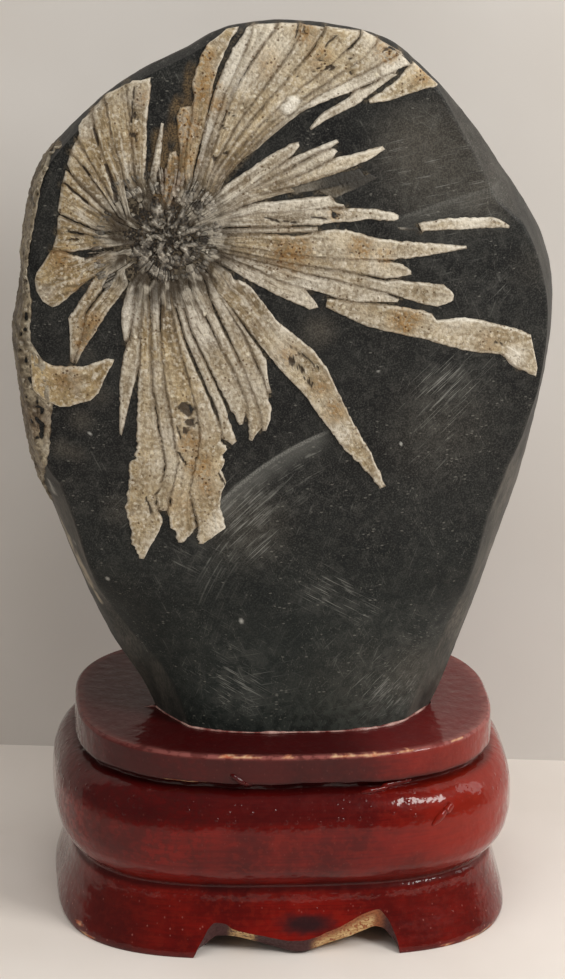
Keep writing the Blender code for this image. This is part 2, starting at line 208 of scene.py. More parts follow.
def read_points(mesh):
    """The mesh's points, back in the drawing's millimetres."""
    flat = np.empty(len(mesh.vertices) * 3, dtype=np.float32)
    mesh.vertices.foreach_get("co", flat)
    return flat.reshape(-1, 3).astype(float) / MM - (CENTRING_MOVE, 0.0, 0.0)


sample = bpy.data.meshes.new("sample")
sample.from_pydata([(CENTRING_MOVE * MM, 0.0, 0.0)], [], [])
print("a point read back:", read_points(sample).round(3))
bpy.data.meshes.remove(sample)

# %% [markdown]
# ## From grids to a piece
#
# A piece is one object made of one or more grids. Here a part that came out inside out is turned round, the
# marks are written, and the piece is shaded smooth. Each finished piece then rides on the one body, and the
# solid that it stands for is hidden. The finishes are wired further down, so for now they are only names.

# %% Pieces and empty finishes


def make_object(name, parts, materials):
    """Join parts, each (points, faces, marks), into one smooth-shaded object in metres."""
    faces, offset = [], 0
    for points, groups, _ in parts:
        turn = -1 if enclosed(points, groups) < 0.0 else 1
        for group in groups:
            faces += (group[:, ::turn] + offset).tolist()
        offset += len(points)
    mesh = bpy.data.meshes.new(name)
    points = np.concatenate([part[0] for part in parts]) + (CENTRING_MOVE, 0.0, 0.0)
    mesh.from_pydata((points * MM).tolist(), [], faces)
    write_marks(mesh, {key: np.concatenate([part[2][key] for part in parts]) for key in parts[0][2]})
    mesh.polygons.foreach_set("use_smooth", np.ones(len(faces), dtype=bool))
    for material in materials:
        mesh.materials.append(material)
    thing = bpy.data.objects.new(name, mesh)
    bpy.context.scene.collection.objects.link(thing)
    return thing


def belongs(thing, node):
    """Put a finished piece on the one body, and hide the solid that it stands for."""
    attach(thing, "root")
    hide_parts(node)
    triangles = sum(len(face.vertices) - 2 for face in thing.data.polygons)
    print(f"{thing.name}: {triangles} triangles")


FINISHES = (
    "ground_stone", "crystal", "crystal_heart", "rim_crust", "cherry_lacquer", "bare_wood",
    "old_wood", "lacquer_lip", "table_top", "wall_paper",
)
finish = {name: bpy.data.materials.new(name) for name in FINISHES}
print("finishes to wire:", len(finish))

# %% [markdown]
# ## The outline of the stone
#
# Seen from the front the slab is an uneven shield. Its outline is a closed curve through a few points, and
# inside it runs the ridge where the ground face ends, at a distance that changes with the direction. Both
# are kept as a radius for each angle, because the rest of the shape is built along spokes. The numbers are
# the model's own.

# %% The outline and the ridge
STONE_CENTRE = np.array((-3.0, 160.0))
RIM_OUTLINE = [
    (-8, 262.2), (4, 261.4), (14, 259.6), (22, 256.5), (28, 251.8), (36, 244), (48.5, 228.4), (60, 211.8),
    (66, 201.8), (70, 190), (71, 178), (70, 164), (67, 143), (63.5, 127), (56, 101), (48, 75), (42, 59),
    (32, 38), (14, 26), (-12, 26), (-29, 42), (-40.5, 66), (-52, 85), (-60.5, 104.6), (-66.7, 121),
    (-73, 136), (-76.8, 160), (-78, 173), (-76, 188), (-75.5, 199), (-71.5, 220), (-60, 235.8),
    (-47.5, 246.6), (-33, 254.4), (-22.5, 260.1),
]
# The ridge's distance inside the outline: angle from +X in degrees, width.
RIDGE_INSET = [
    (-180, 1.5), (-166, 3), (-157, 6.5), (-149, 5.5), (-131, 4.5), (-118, 8), (-108, 13), (-72, 13),
    (-61, 10), (-51, 8.5), (-34, 9.5), (-20, 8), (-12, 6), (0, 4.3), (10, 4.2), (25, 4.5), (38, 3.5),
    (45, 6), (51, 5), (59, 3.5), (66, 1.2), (90, 1), (117, 1), (135, 0.5), (148, 1), (170, 1.2),
]


def closed_curve(points, steps):
    """A Catmull-Rom curve through points, closed, with the given steps between neighbours."""
    p = np.array(points, dtype=float)
    t = (np.arange(steps) / steps)[None, :, None]
    a, b, c, d = (q[:, None, :] for q in (np.roll(p, 1, 0), p, np.roll(p, -1, 0), np.roll(p, -2, 0)))
    curve = 0.5 * (
        2 * b + (c - a) * t + (2 * a - 5 * b + 4 * c - d) * t**2 + (3 * b - a - 3 * c + d) * t**3
    )
    return curve.reshape(-1, 2)


def radius_by_angle(curve, centre):
    """A curve round a centre, as angles in order and the distance at each."""
    away = curve - centre
    angle = np.arctan2(away[:, 1], away[:, 0])
    order = np.argsort(angle)
    return angle[order], np.hypot(*away.T)[order]


RIM = radius_by_angle(closed_curve(RIM_OUTLINE, 16), STONE_CENTRE)
INSET = np.array(RIDGE_INSET, dtype=float).T
print("outline above the middle:", round(float(np.interp(math.pi / 2.0, *RIM)), 1), "mm")

# %% [markdown]
# ## The stone's smooth surface
#
# Each spoke runs from the middle of the ground face to the ridge, down a bevel to the widest outline, and
# round the back. One number says how far along it a point is, so a formula gives the whole surface, and
# any place on it can be asked for later. A sculpted mesh couldn't be asked in that way.

# %% Spokes from the middle of the face
FACE_Y, RIM_Y, BACK_POLE = -30.0, -8.0, 34.0
BEVEL_BULGE, BACK_POWER = 0.12, 2.3
# Low places of the ground face, and lumps behind: x, z, radius, how far they go towards the back.
GROUND_HOLLOWS = [
    (34, 222, 24, 1.3), (12, 120, 26, -0.7), (-22, 84, 22, 0.8), (48, 150, 22, 0.6), (-66, 150, 14, 1),
]
BACK_LUMPS = [
    (-30, 205, 34, 3), (30, 190, 30, -2.6), (24, 118, 32, 2.6), (-38, 130, 26, -2.2), (-2, 238, 22, 1.8),
    (4, 158, 20, -1.4),
]


def rim_radius(angle):
    """Distance from the stone's centre to its outline."""
    return np.interp(angle, *RIM, period=2.0 * math.pi)


def ridge_radius(angle):
    """Distance from the stone's centre to the ridge round the ground face."""
    return rim_radius(angle) - np.interp(np.degrees(angle), *INSET, period=360.0)


def face_depth(x, z, share):
    """Y of the ground face: it falls away a little to its ridge, and more at its lower corners."""
    corner = 5.5 * (x / 34.0) ** 4 * smooth_step(z, 112.0, 62.0)
    waves = 0.16 * noise(beside(x, z), 11.0, 3, 2)
    return FACE_Y + 5.0 * share**3 + corner + waves + bumps(x, z, GROUND_HOLLOWS)


def spoke_point(angle, ring):
    """The stone's smooth surface. Ring 0 to 1 is the face, to 2 the bevel, to 3 the back.

    The bevel bulges by 0.12 sin(pi share) of its width. The back's section is
    |across|^2.3 + |along|^q = 1, with q larger below than above.
    """
    angle, ring = np.broadcast_arrays(angle, ring)
    toward = beside(np.cos(angle), np.sin(angle))
    ridge, rim = ridge_radius(angle), rim_radius(angle)
    face, slope, back = (np.clip(ring - start, 0.0, 1.0) for start in (0, 1, 2))
    across = np.cos(back * math.pi / 2.0) ** (2.0 / BACK_POWER)
    out = ridge * face + (rim - ridge) * (slope + BEVEL_BULGE * np.sin(math.pi * slope))
    x, z = np.moveaxis(STONE_CENTRE + toward * (out * across)[..., None], -1, 0)
    rim_z = STONE_CENTRE[1] + toward[..., 1] * rim
    rim_y = RIM_Y - 12.5 * smooth_step(rim_z, 195.0, 255.0)
    ridge_x, ridge_z = np.moveaxis(STONE_CENTRE + toward * ridge[..., None], -1, 0)
    edge_y = face_depth(ridge_x, ridge_z, 1.0)
    along = (1.0 - across**BACK_POWER) ** (1.0 / (1.8 - 0.25 * np.sin(angle)))
    y = np.where(ring <= 1.0, face_depth(x, z, face), edge_y + (rim_y - edge_y) * slope)
    behind = rim_y + (BACK_POLE - rim_y) * along + bumps(x, z, BACK_LUMPS) * np.minimum(1.0, 2.0 * back)
    return beside(x, np.where(ring > 2.0, behind, y), z)


print("middle of the face:", spoke_point(0.0, 0.0).round(2))

# %% [markdown]
# ## Finding a place on the front
#
# The crystals are laid out as they are seen, by x and z, and have to lie on the surface. So the spoke's
# formula is turned round, to give the surface under any x and z. The slope between two places close
# together gives the direction that points out of the stone there.

# %% Places on the front


def unit(vectors):
    """Vectors made one long."""
    return vectors / np.maximum(np.linalg.norm(vectors, axis=-1, keepdims=True), 1e-9)


def bevel_slope(out):
    """How far down the bevel a point is, from its share of the bevel's width: the bulge undone."""
    share = np.linspace(0.0, 1.0, 60)
    return np.interp(out, share + BEVEL_BULGE * np.sin(math.pi * share), share)


def front_ring(x, z):
    """The angle and ring of the front surface's point at x, z."""
    angle = np.arctan2(z - STONE_CENTRE[1], x - STONE_CENTRE[0])
    out = np.hypot(x - STONE_CENTRE[0], z - STONE_CENTRE[1])
    ridge, rim = ridge_radius(angle), rim_radius(angle)
    slope = bevel_slope((out - ridge) / (rim - ridge))
    return angle, np.where(out <= ridge, out / ridge, 1.0 + slope)


def on_front(x, z):
    """Points of the front surface at x, z, and the directions that point out of it."""
    def depth(x, z):
        """Y of the front surface."""
        return spoke_point(*front_ring(x, z))[..., 1]

    y = depth(x, z)
    slope_x = (depth(x + 0.3, z) - depth(x - 0.3, z)) / 0.6
    slope_z = (depth(x, z + 0.3) - depth(x, z - 0.3)) / 0.6
    return beside(x, y, z), unit(beside(slope_x, -1.0, slope_z))


print("a place on the front:", on_front(np.array([20.0]), np.array([120.0]))[0].round(2))

# %% [markdown]
# ## The skin of the stone
#
# Grinding leaves the face very slightly uneven, while the back keeps its natural skin. So the bevel and the
# back are pushed in and out by noise along their normals. A displacement node would only show in the
# render, and this shape has to be in the mesh, for anyone who wants to print it.

# %% Normals and natural skin


def grid_normals(grid):
    """Directions out of a grid of points, closed in its columns: along the rows x along the columns."""
    down = np.gradient(grid, axis=0)
    round_it = np.roll(grid, -1, 1) - np.roll(grid, 1, 1)
    return unit(np.cross(down, round_it))


def rough_skin(grid, ring):
    """How far the natural skin stands out: nothing on the face, little on the bevel, most behind."""
    bevel, back = smooth_step(ring, 1.0, 1.25), smooth_step(ring, 1.9, 2.4)
    coarse, fine = noise(grid, 13.0, 11, 3), noise(grid, 3.4, 23, 2)
    return bevel * (0.16 * coarse + 0.16 * fine) + back * (0.75 * coarse + 0.3 * fine)


sample = rough_skin(spoke_point(np.linspace(-3.0, 3.0, 50), 2.7), 2.7)
print("skin on the back goes from", sample.min().round(2), "to", sample.max().round(2), "mm")

# %% [markdown]
# ## The stone as one closed surface
#
# The rings of all the spokes make one closed surface with a pole at the front and one at the back. The
# bevel is marked as worn grey in some directions more than in others, as the disc only touched it in
# places. Last, the foot is cut flat where the stone goes down into its stand.

# %% One closed surface
STONE_BASE = 55.3
# How grey and scratched the bevel is: angle from +X in degrees, strength.
BEVEL_WEAR = [
    (-170, 0.2), (-158, 0.4), (-150, 0.9), (-138, 0.8), (-128, 0.5), (-110, 0.6), (-90, 0.4), (-70, 0.8),
    (-40, 1), (-22, 0.9), (-10, 0.3), (14, 0.2), (30, 0.2), (48, 0.25), (60, 0.2), (70, 0.1), (110, 0),
    (160, 0),
]
SPOKES, FACE_ROWS, BEVEL_ROWS, BACK_ROWS = 480, 96, 14, 60
STONE_RINGS = np.concatenate((
    np.arange(1, FACE_ROWS + 1) / FACE_ROWS,
    1.0 + np.arange(1, BEVEL_ROWS + 1) / BEVEL_ROWS,
    2.0 + np.arange(1, BACK_ROWS) / BACK_ROWS,
))


def stone_part(spokes, ring):
    """Rings round a front pole and a back pole; the grid's inner rings close on the two poles."""
    angle = np.linspace(-math.pi, math.pi, spokes, endpoint=False)[None, :]
    grid = spoke_point(angle, ring[:, None])
    normal = grid_normals(grid)
    normal *= np.sign(np.sum(normal[:1] * (0.0, -1.0, 0.0)))
    grid = grid + normal * rough_skin(grid, ring[:, None])[..., None]
    points = np.vstack((grid.reshape(-1, 3), spoke_point(0.0, 0.0), grid[-1].mean(0)))
    i, j = np.arange(spokes), (np.arange(spokes) + 1) % spokes
    last = (len(ring) - 1) * spokes
    front, back = beside(j, i, len(points) - 2), beside(i + last, j + last, len(points) - 1)
    rings = np.append(np.repeat(ring, spokes), (0.0, 3.0))
    worn = np.interp(np.degrees(angle[0]), *np.array(BEVEL_WEAR, dtype=float).T, period=360.0)
    worn = np.append(np.tile(worn, len(ring)), (0.0, 0.0))
    marks = {
        "bevel": worn * smooth_step(rings, 0.985, 1.04) * (1.0 - smooth_step(rings, 1.9, 2.2)),
        "back": smooth_step(rings, 1.85, 2.3),
    }
    return points, [grid_faces(len(ring), spokes, closed=True), front, back], marks


def cut_flat(thing, height):
    """Cut an object off below a height, and close it with one flat face."""
    bm = bmesh.new()
    bm.from_mesh(thing.data)
    cut = bmesh.ops.bisect_plane(
        bm, geom=bm.verts[:] + bm.edges[:] + bm.faces[:], plane_co=(0.0, 0.0, height * MM),
        plane_no=(0.0, 0.0, -1.0), clear_outer=True,
    )
    rim = [item for item in cut["geom_cut"] if isinstance(item, bmesh.types.BMEdge)]
    bmesh.ops.contextual_create(bm, geom=rim)
    bm.to_mesh(thing.data)
    bm.free()


stone = make_object("stone_body", [stone_part(SPOKES, STONE_RINGS)], [finish["ground_stone"]])
cut_flat(stone, STONE_BASE)
belongs(stone, "stone")

# %% [markdown]
# ## The blades of the flower
#
# Each crystal is a long blade that runs outwards from the heart of the flower. A row of the table is one
# blade: its tone, from 0 for grey to 1 for tan, and its two edges at several places along it, as left x
# and z and right x and z. A negative tone means a blade that the grinding has only just reached, so it
# shows faintly through the dark stone.

# %% The table of blades
BLADES = {
    "left_fan_1": (0.75, [
        (-46.5, 221.1, -43.9, 221.1), (-47.7, 236, -43.6, 236.1), (-48.3, 245, -42.6, 245.5),
        (-46.7, 246.5, -42.6, 247.8),
    ]),
    "left_fan_2": (0.75, [
        (-48.8, 219.4, -46.7, 220.6), (-52.3, 231.1, -48.1, 236), (-53.9, 239.5, -48.8, 244.4),
        (-54.2, 241.3, -48.7, 245), (-53.3, 242.2, -48.8, 245.3),
    ]),
    "left_fan_3": (0.8, [
        (-48.4, 208.6, -47.6, 210.8), (-49, 212.4, -48.5, 215.1), (-51.5, 219.1, -50, 223.2),
        (-55.3, 228.4, -52.7, 231.6), (-57, 234.7, -54.2, 239.5), (-57.6, 238.1, -54.6, 241),
    ]),
    "left_fan_4": (0.85, [
        (-48.8, 208.9, -48.6, 209.2), (-61.3, 231.2, -56.5, 231.5), (-60.9, 234, -57.3, 234.7),
        (-59.7, 235.7, -57.7, 237.9),
    ]),
    "left_fan_5": (0.8, [(-50.8, 211, -49, 209), (-54.8, 217.2, -52.6, 215), (-63.3, 228.1, -61.8, 231)]),
    "left_fan_6": (0.8, [
        (-51.6, 209.9, -50.8, 210.7), (-53.5, 212.2, -53.1, 214.1), (-61.7, 220.3, -58.6, 221.6),
        (-64.3, 224.4, -63.4, 227.7),
    ]),
    "left_fan_7": (0.85, [
        (-50.5, 207.2, -50.3, 208.6), (-61.4, 216.7, -60.6, 218.5), (-64.1, 219, -64.2, 222.4),
        (-65.5, 219.2, -64.8, 222.2),
    ]),
    "left_fan_8": (0.85, [
        (-50.8, 206.8, -50.6, 207.2), (-55.5, 206.7, -55.6, 211.3), (-66, 211.1, -64.4, 218.7),
        (-66.7, 211.9, -65.8, 218.4),
    ]),
    "left_fan_9": (0.9, [
        (-50.5, 204.2, -50.8, 205.6), (-56.9, 205.1, -55.5, 205.5), (-59.8, 205.7, -58.7, 207.2),
        (-64.3, 206, -66.1, 210.1), (-66.9, 205.9, -66.8, 209.7),
    ]),
    "left_fan_10": (0.95, [
        (-51.3, 202.6, -50.7, 203.9), (-59.7, 201.5, -59.8, 205.3), (-62.4, 200.8, -61.9, 205.4),
        (-68.2, 200.8, -66.9, 205.6),
    ]),
    "left_lobe": (1, [
        (-49.7, 200.7, -49.9, 199.1), (-52.8, 200.9, -52, 197.7), (-59.2, 198.9, -58.6, 193.2),
        (-62.4, 199.4, -61.8, 190.3), (-66.1, 200.7, -64.2, 187.7), (-68.5, 200.4, -66.3, 185.7),
        (-70.3, 197.4, -68.2, 185.1), (-72.2, 194.3, -70.6, 186.5), (-72.8, 192, -72.4, 189.5),
    ]),
    "left_lobe_2": (0.95, [
        (-50.7, 200.9, -51.2, 198.7), (-53.4, 200.3, -53.9, 197.2), (-58.7, 197.4, -58.6, 194),
        (-62.3, 192.5, -62.3, 190.8),
    ]),
    "low_left_1": (0.7, [
        (-53.6, 197.5, -53.1, 194.8), (-57, 193.2, -55.3, 190.2), (-61, 186.1, -59.4, 183.9),
        (-63.5, 182.1, -60, 178.8), (-63, 169.7, -62.6, 169.4),
    ]),
    "low_left_2": (0.8, [
        (-50.4, 195.9, -49.1, 196), (-52.5, 192.1, -48.2, 192.1), (-56.1, 187.6, -50.7, 188.1),
        (-58.8, 183.5, -53.8, 183.6), (-60.6, 175.4, -58.1, 176.1), (-62.2, 170.3, -61.9, 169.9),
    ]),
    "edge_crescent": (0.9, [
        (-51.5, 170.6, -51.6, 170.2), (-53.4, 170.9, -52.7, 168.3), (-59.5, 168.3, -55.8, 161.2),
        (-61.9, 168.3, -57.8, 159.2), (-66.5, 168.1, -63.2, 157.1), (-68.6, 168.6, -65.9, 156.8),
        (-70.5, 169.5, -68, 157.8), (-71.9, 170.7, -69.9, 158.6), (-74.3, 174.8, -73.4, 161.7),
    ]),
    "sliver_up": (0.35, [
        (-47.4, 192.4, -45.6, 192.4), (-48.9, 187.6, -46.3, 187.7), (-49.5, 182, -46.9, 182),
        (-48.9, 176.9, -47.7, 177.8), (-48.3, 175.8, -48.1, 175.6),
    ]),
    "sliver_mid": (0.4, [
        (-45.4, 192.1, -44, 191.1), (-46.2, 186.8, -44, 184.9), (-47, 176.9, -44.6, 176.4),
    ]),
    "sliver_low": (0.5, [
        (-47, 177.5, -44.6, 177.6), (-48.6, 173, -44.8, 172.5), (-49.7, 164.7, -46.1, 164.5),
        (-49.6, 149.3, -49.4, 149.1),
    ]),
    "bundle_1": (0.8, [
        (-44.1, 191.9, -42.6, 191.9), (-44.8, 162.2, -41.2, 162.3), (-45, 145.1, -38.8, 146),
        (-45.3, 142.1, -38, 142.5), (-46.7, 140.9, -37.6, 140.2), (-47, 133.4, -38.6, 134.6),
        (-47.2, 129.6, -40.2, 131.9), (-47.7, 126, -39.7, 129.2), (-46.7, 123.5, -39.1, 126.8),
        (-46, 120.6, -38, 125.4), (-45.7, 117.6, -38.2, 122.1), (-43.7, 112.4, -42.9, 112.3),
    ]),
    "bundle_grey": (0.15, [(-42.1, 191.1, -39.6, 191.1), (-41.1, 173.1, -39.7, 173.1)]),
    "bundle_2": (0.85, [
        (-41.7, 178.7, -39.3, 178.8), (-40.7, 163.4, -37.9, 163.4), (-37, 140.2, -33.8, 141.4),
        (-38.3, 134.3, -34.9, 134.9), (-39.6, 131.7, -35.7, 132), (-38.7, 127, -36.3, 126.9),
    ]),
    "bundle_3": (0.85, [
        (-38.6, 187.8, -37.2, 187.8), (-38.8, 174.8, -34.6, 175.7), (-37.4, 162.9, -30.9, 163.2),
        (-35.2, 152.5, -28.3, 151.7), (-34.6, 149, -28.1, 147.9), (-33.6, 142, -29.1, 141.2),
        (-35.4, 131.7, -30.5, 131.8), (-35.9, 125.4, -29.3, 126.1), (-35.5, 122.5, -28.6, 123.2),
        (-33.8, 121, -29.6, 120.4), (-33.1, 117.5, -32.5, 117.5),
    ]),
    "bundle_4": (0.8, [
        (-37, 187.8, -36.2, 187.8), (-33.8, 173.7, -32.3, 174.3), (-28.6, 156.9, -25.7, 158.9),
        (-27.7, 148.5, -22.8, 151.7), (-28, 144.4, -22.3, 147.6), (-28.7, 140.9, -20.5, 145.3),
        (-29.5, 137.7, -22, 143.5), (-30, 134.4, -21.1, 141.5), (-30.1, 131.5, -22.1, 139.2),
        (-29.6, 128.8, -20.7, 135.6), (-28.7, 126.1, -22.1, 131.5), (-27.8, 123.2, -21.9, 127.7),
        (-27.9, 119.9, -20.5, 122.3), (-27.6, 117.2, -26.5, 117.2),
    ]),
    "bundle_5": (0.6, [
        (-35.4, 188.9, -34.1, 188.9), (-32.8, 178.5, -31.1, 178.3), (-23.1, 156.3, -21.3, 157.2),
        (-21.9, 149.1, -19.2, 150.2), (-19, 146.5, -17.9, 147.5),
    ]),
    "bundle_6": (0.55, [
        (-33.8, 189.5, -30.8, 189.5), (-30.4, 178.8, -26.4, 180.8), (-21.2, 160, -17.2, 162.9),
        (-19.1, 156, -15.5, 158), (-18, 154, -15.8, 156), (-17.1, 152.3, -16.6, 152.4),
    ]),
    "bundle_7": (0.6, [
        (-29.8, 189.5, -26.8, 189.5), (-27.3, 184.8, -25.2, 184.8), (-19.3, 168.6, -17.8, 169.8),
        (-15.8, 160.6, -14, 160.9), (-15.2, 157.4, -12.9, 157.9), (-14.6, 151.1, -11.5, 151.9),
        (-14.4, 147.9, -13.9, 147.7),
    ]),
    "bundle_8": (0.6, [
        (-26, 189, -22.8, 187.9), (-20.1, 177.2, -16.9, 178.3), (-13.2, 160.6, -10.5, 162.9),
        (-11.5, 154.8, -8.8, 156.8), (-11.1, 152.2, -9, 153.7), (-10.7, 150.5, -10.2, 150.5),
    ]),
    "bundle_9": (0.55, [
        (-22.5, 187.3, -20.6, 186.2), (-16.6, 178.4, -14.9, 177.4), (-12.3, 169, -10.6, 170.9),
        (-10.2, 163.2, -9.8, 164.9), (-9.6, 161.2, -9.1, 161.4),
    ]),
    "bundle_top_1": (0.45, [
        (-36.3, 195, -32.8, 195.6), (-36.8, 192, -32.2, 192.3), (-36.1, 185.6, -31.8, 185),
    ]),
    "bundle_top_2": (0.5, [
        (-32.3, 196.5, -29.4, 197.6), (-30.6, 189.5, -27.3, 191.2), (-27.5, 182.5, -25.9, 184.8),
    ]),
    "bundle_top_3": (0.35, [(-39.4, 192.2, -37, 191.7), (-38.5, 184.4, -35.6, 184.4)]),
    "long_blade_a": (0.8, [
        (-28.3, 199.8, -27, 200.6), (-27.2, 197, -25.1, 198.4), (-24.4, 190.7, -20.8, 195.4),
        (-22, 187.7, -19.9, 193.5), (-19.5, 185, -17.2, 192.9), (-17.3, 182.2, -15.3, 191.5),
        (-12.4, 175.7, -11.7, 187), (-8, 170, -7.8, 181.8), (0.7, 160.5, 2.5, 173.2),
        (3.6, 156.2, 6, 168.5), (11.6, 145.3, 12.9, 154.3), (18.5, 138.1, 19.6, 142.6),
        (22.3, 133.4, 23.3, 133.8),
    ]),
    "long_root_1": (0.5, [
        (-27.2, 193.7, -26.7, 195.1), (-25.5, 188.1, -23.3, 189.8), (-22.1, 181.7, -20, 185.6),
    ]),
    "spike": (0.5, [
        (-44.2, 213.6, -42.6, 213.3), (-41.9, 223.9, -40.2, 223.9), (-39.4, 235.9, -39.1, 235.8),
    ]),
    "column_1": (0.9, [
        (-39.4, 213.7, -37.1, 213.7), (-38.2, 221.5, -35.2, 221.8), (-37.6, 226.1, -35.1, 226.4),
        (-37, 228.2, -35.9, 228.5),
    ]),
    "column_2": (0.95, [
        (-35, 215.3, -33.4, 215.4), (-34.3, 228.3, -33.3, 228.3), (-35.5, 237.8, -32, 237.8),
        (-34.4, 240.2, -31.6, 240.5),
    ]),
    "top_fan_1": (0.85, [
        (-33.3, 216.4, -31.8, 216.5), (-33.5, 224.8, -31, 224.8), (-32.5, 232.8, -28.5, 234.7),
        (-30.8, 242.9, -26.4, 245.3), (-31.4, 247.1, -25, 250.6), (-28.8, 254.7, -22.1, 257.4),
        (-27.5, 256.6, -21.4, 258.7), (-21.8, 260.2, -19.4, 260.7),
    ]),
    "top_fan_2": (0.35, [
        (-31.7, 216.5, -31, 216.5), (-30.3, 223.5, -29.5, 223.5), (-25.6, 244, -23.2, 243),
        (-21, 255.6, -18.3, 253.8), (-17.1, 260.9, -15.6, 261.4),
    ]),
    "top_fan_3": (0.6, [
        (-30.9, 216.5, -29.7, 216.5), (-27.9, 228.3, -26.7, 227.7), (-22.9, 243, -21.3, 243.8),
        (-21.6, 246.5, -20.3, 245.9), (-16.9, 256.3, -14.4, 255.5), (-15.4, 261.4, -9.3, 261.9),
    ]),
    "top_fan_4": (0.75, [
        (-29.5, 216.5, -28.7, 216.5), (-26.4, 227.5, -24.7, 227.2), (-23.3, 235.9, -19.8, 235.8),
        (-20.6, 244.2, -14.6, 243), (-13.9, 255.1, -5.7, 255.6), (-11.9, 257.8, -4.1, 258.6),
        (-8.1, 262, -3.4, 261.9),
    ]),
    "top_fan_5": (0.75, [
        (-28.6, 216.5, -27.7, 216.5), (-26.6, 222.6, -25.5, 222.5), (-22.2, 231.3, -20.5, 230.8),
        (-16.8, 239.8, -14.6, 238.6), (-7.1, 253, -2.9, 252.3), (-3.7, 258.4, 1.4, 258.2),
        (-2.6, 261.8, 3.2, 261.1),
    ]),
    "top_fan_6": (0.85, [
        (-27.5, 216.5, -26.7, 216.5), (-25.4, 222.3, -24.4, 221.9), (-20.4, 230.7, -18.9, 229.8),
        (-14.4, 238.5, -12.4, 237.2), (-6.9, 247, -3.3, 245.4), (-0.4, 254.5, 6.2, 252.8),
        (4.2, 261.1, 12.6, 259.8),
    ]),
    "top_fan_7": (0.8, [
        (-26.6, 216.4, -26.1, 216.2), (-24.3, 221.8, -23.6, 221.5), (-21.6, 225.7, -20.9, 225.3),
        (-12.3, 237, -11.1, 236), (-3.1, 245.3, -1.1, 243.7), (10.7, 256.1, 13.9, 253.8),
        (13.7, 259.7, 17.4, 258.2),
    ]),
    "top_fan_8": (0.75, [
        (-25.9, 216.2, -25.5, 216.2), (-23.5, 221.4, -22.9, 221.2), (-20.8, 225.2, -19.9, 224.7),
        (-14.6, 232.5, -13.6, 231.8), (-7.6, 238.9, -6.6, 237.9), (2.2, 245.9, 3.2, 244.5),
        (14, 253.7, 15.8, 250.9), (17.6, 258, 23.5, 254.8),
    ]),
    "top_fan_9": (0.5, [
        (-25.4, 216.2, -25, 216.2), (-22.8, 221.1, -22.3, 221.8), (-19.9, 224.7, -19.5, 225.3),
        (-10, 235.1, -9.8, 233.8), (-3.2, 240.4, -3, 239.3), (3.3, 244.5, 3.3, 242.1),
        (10.8, 248.1, 10.7, 244.8), (23.8, 254.5, 26, 251.9),
    ]),
    "top_sliver": (0.55, [
        (-0.3, 234.8, -0.1, 234.5), (2.6, 238.4, 3.9, 237.3), (10.2, 243, 11.6, 241.1),
        (11.5, 244.6, 13.2, 242.3), (14.7, 245.7, 16.3, 244.6), (21.3, 249.9, 22.4, 249.1),
    ]),
    "top_low": (0.8, [
        (15.2, 242.2, 15.5, 241.6), (18.8, 244.4, 20.4, 242.2), (23, 247.6, 25.8, 243.9),
        (25.9, 250.8, 30.9, 245.4), (27.3, 251.8, 34.2, 245.5),
    ]),
    "top_grey": (0.2, [(-23.1, 239.6, -21.8, 240.1), (-19.6, 249.4, -19, 248.6)]),
    "upper_right_1": (0.5, [
        (-26.2, 216.2, -25.9, 211.6), (-20.2, 220.8, -18.5, 216.8), (-11.3, 227, -8.8, 225),
        (-5.5, 230.4, -4.6, 228.2), (-3.2, 231, -2.9, 230.2),
    ]),
    "upper_right_root": (0.5, [
        (-25.9, 212.2, -25.6, 210.2), (-15.4, 219, -15.8, 214.9), (-12.7, 219.9, -13.2, 215.8),
    ]),
    "upper_right_2": (0.4, [
        (-20.6, 216.3, -20.1, 215.5), (-9.1, 224.4, -9.3, 222.5), (-0.9, 228.6, 0.4, 227.7),
        (7, 231.7, 7.5, 231.2),
    ]),
    "upper_right_3": (0.5, [
        (-16.9, 217.8, -15.9, 217.3), (-9, 222.2, -8.5, 220.1), (3.4, 228.3, 3.7, 226),
        (5.2, 229, 5.8, 227.1), (6.7, 229.2, 7.1, 228.8),
    ]),
    "upper_right_4": (0.65, [
        (-20.1, 215.5, -19, 213.8), (-13.2, 218.9, -12.7, 217.1), (-6.3, 220.5, -5.8, 219),
        (7.1, 226.7, 7.2, 223), (15.4, 228.9, 15.5, 226.3), (19.5, 229.7, 19.9, 229.2),
    ]),
    "upper_right_5": (0.6, [
        (-18.5, 214.9, -17.4, 214.1), (-15.3, 216.4, -14.2, 215.3), (-4.6, 218.7, -4, 218.2),
    ]),
    "faint_1": (-0.6, [(-5.8, 218.5, -4.7, 217.4), (2.7, 221.5, 3.3, 218.6), (13.4, 223.7, 14.5, 222.2)]),
    "faint_2": (-0.75, [(2.3, 218, 6.1, 216), (9.5, 219.8, 12.2, 218.4), (16.2, 222.4, 17.8, 221.5)]),
    "right_1": (0.5, [
        (-25.9, 210.8, -25.3, 209.4), (-14.2, 214.4, -13.1, 212.1), (-1.7, 215.9, -1.6, 212.8),
        (5.5, 216.4, 3.7, 213.6), (7.2, 214.6, 7.8, 213.7), (9.5, 213.9, 9.7, 213.5),
    ]),
    "right_2": (0.55, [
        (-26.6, 210, -26.6, 208.2), (-13.9, 212.2, -14.3, 208.6), (1.6, 213.2, 2.5, 209),
        (17, 212.8, 16.5, 210.3), (22.7, 211.6, 22.8, 209.7), (24.3, 210.8, 24.3, 210.2),
    ]),
    "right_3": (0.5, [(-27.7, 207, -27.4, 205.9), (-13.5, 207.9, -13.5, 206.7), (2.5, 207.9, 2.6, 207.1)]),
    "right_4": (0.7, [
        (-27.1, 205.4, -26.3, 204.1), (-18.3, 206.4, -17.7, 202.5), (-3.8, 205.5, -3.2, 200.5),
        (6.9, 207.3, 7.6, 199.5), (10.1, 207.2, 10.9, 199.3), (19.4, 204.5, 20.7, 199.2),
        (27.1, 203.5, 27.8, 199.3), (43.2, 201.9, 43.3, 201.6),
    ]),
    "right_5": (0.7, [
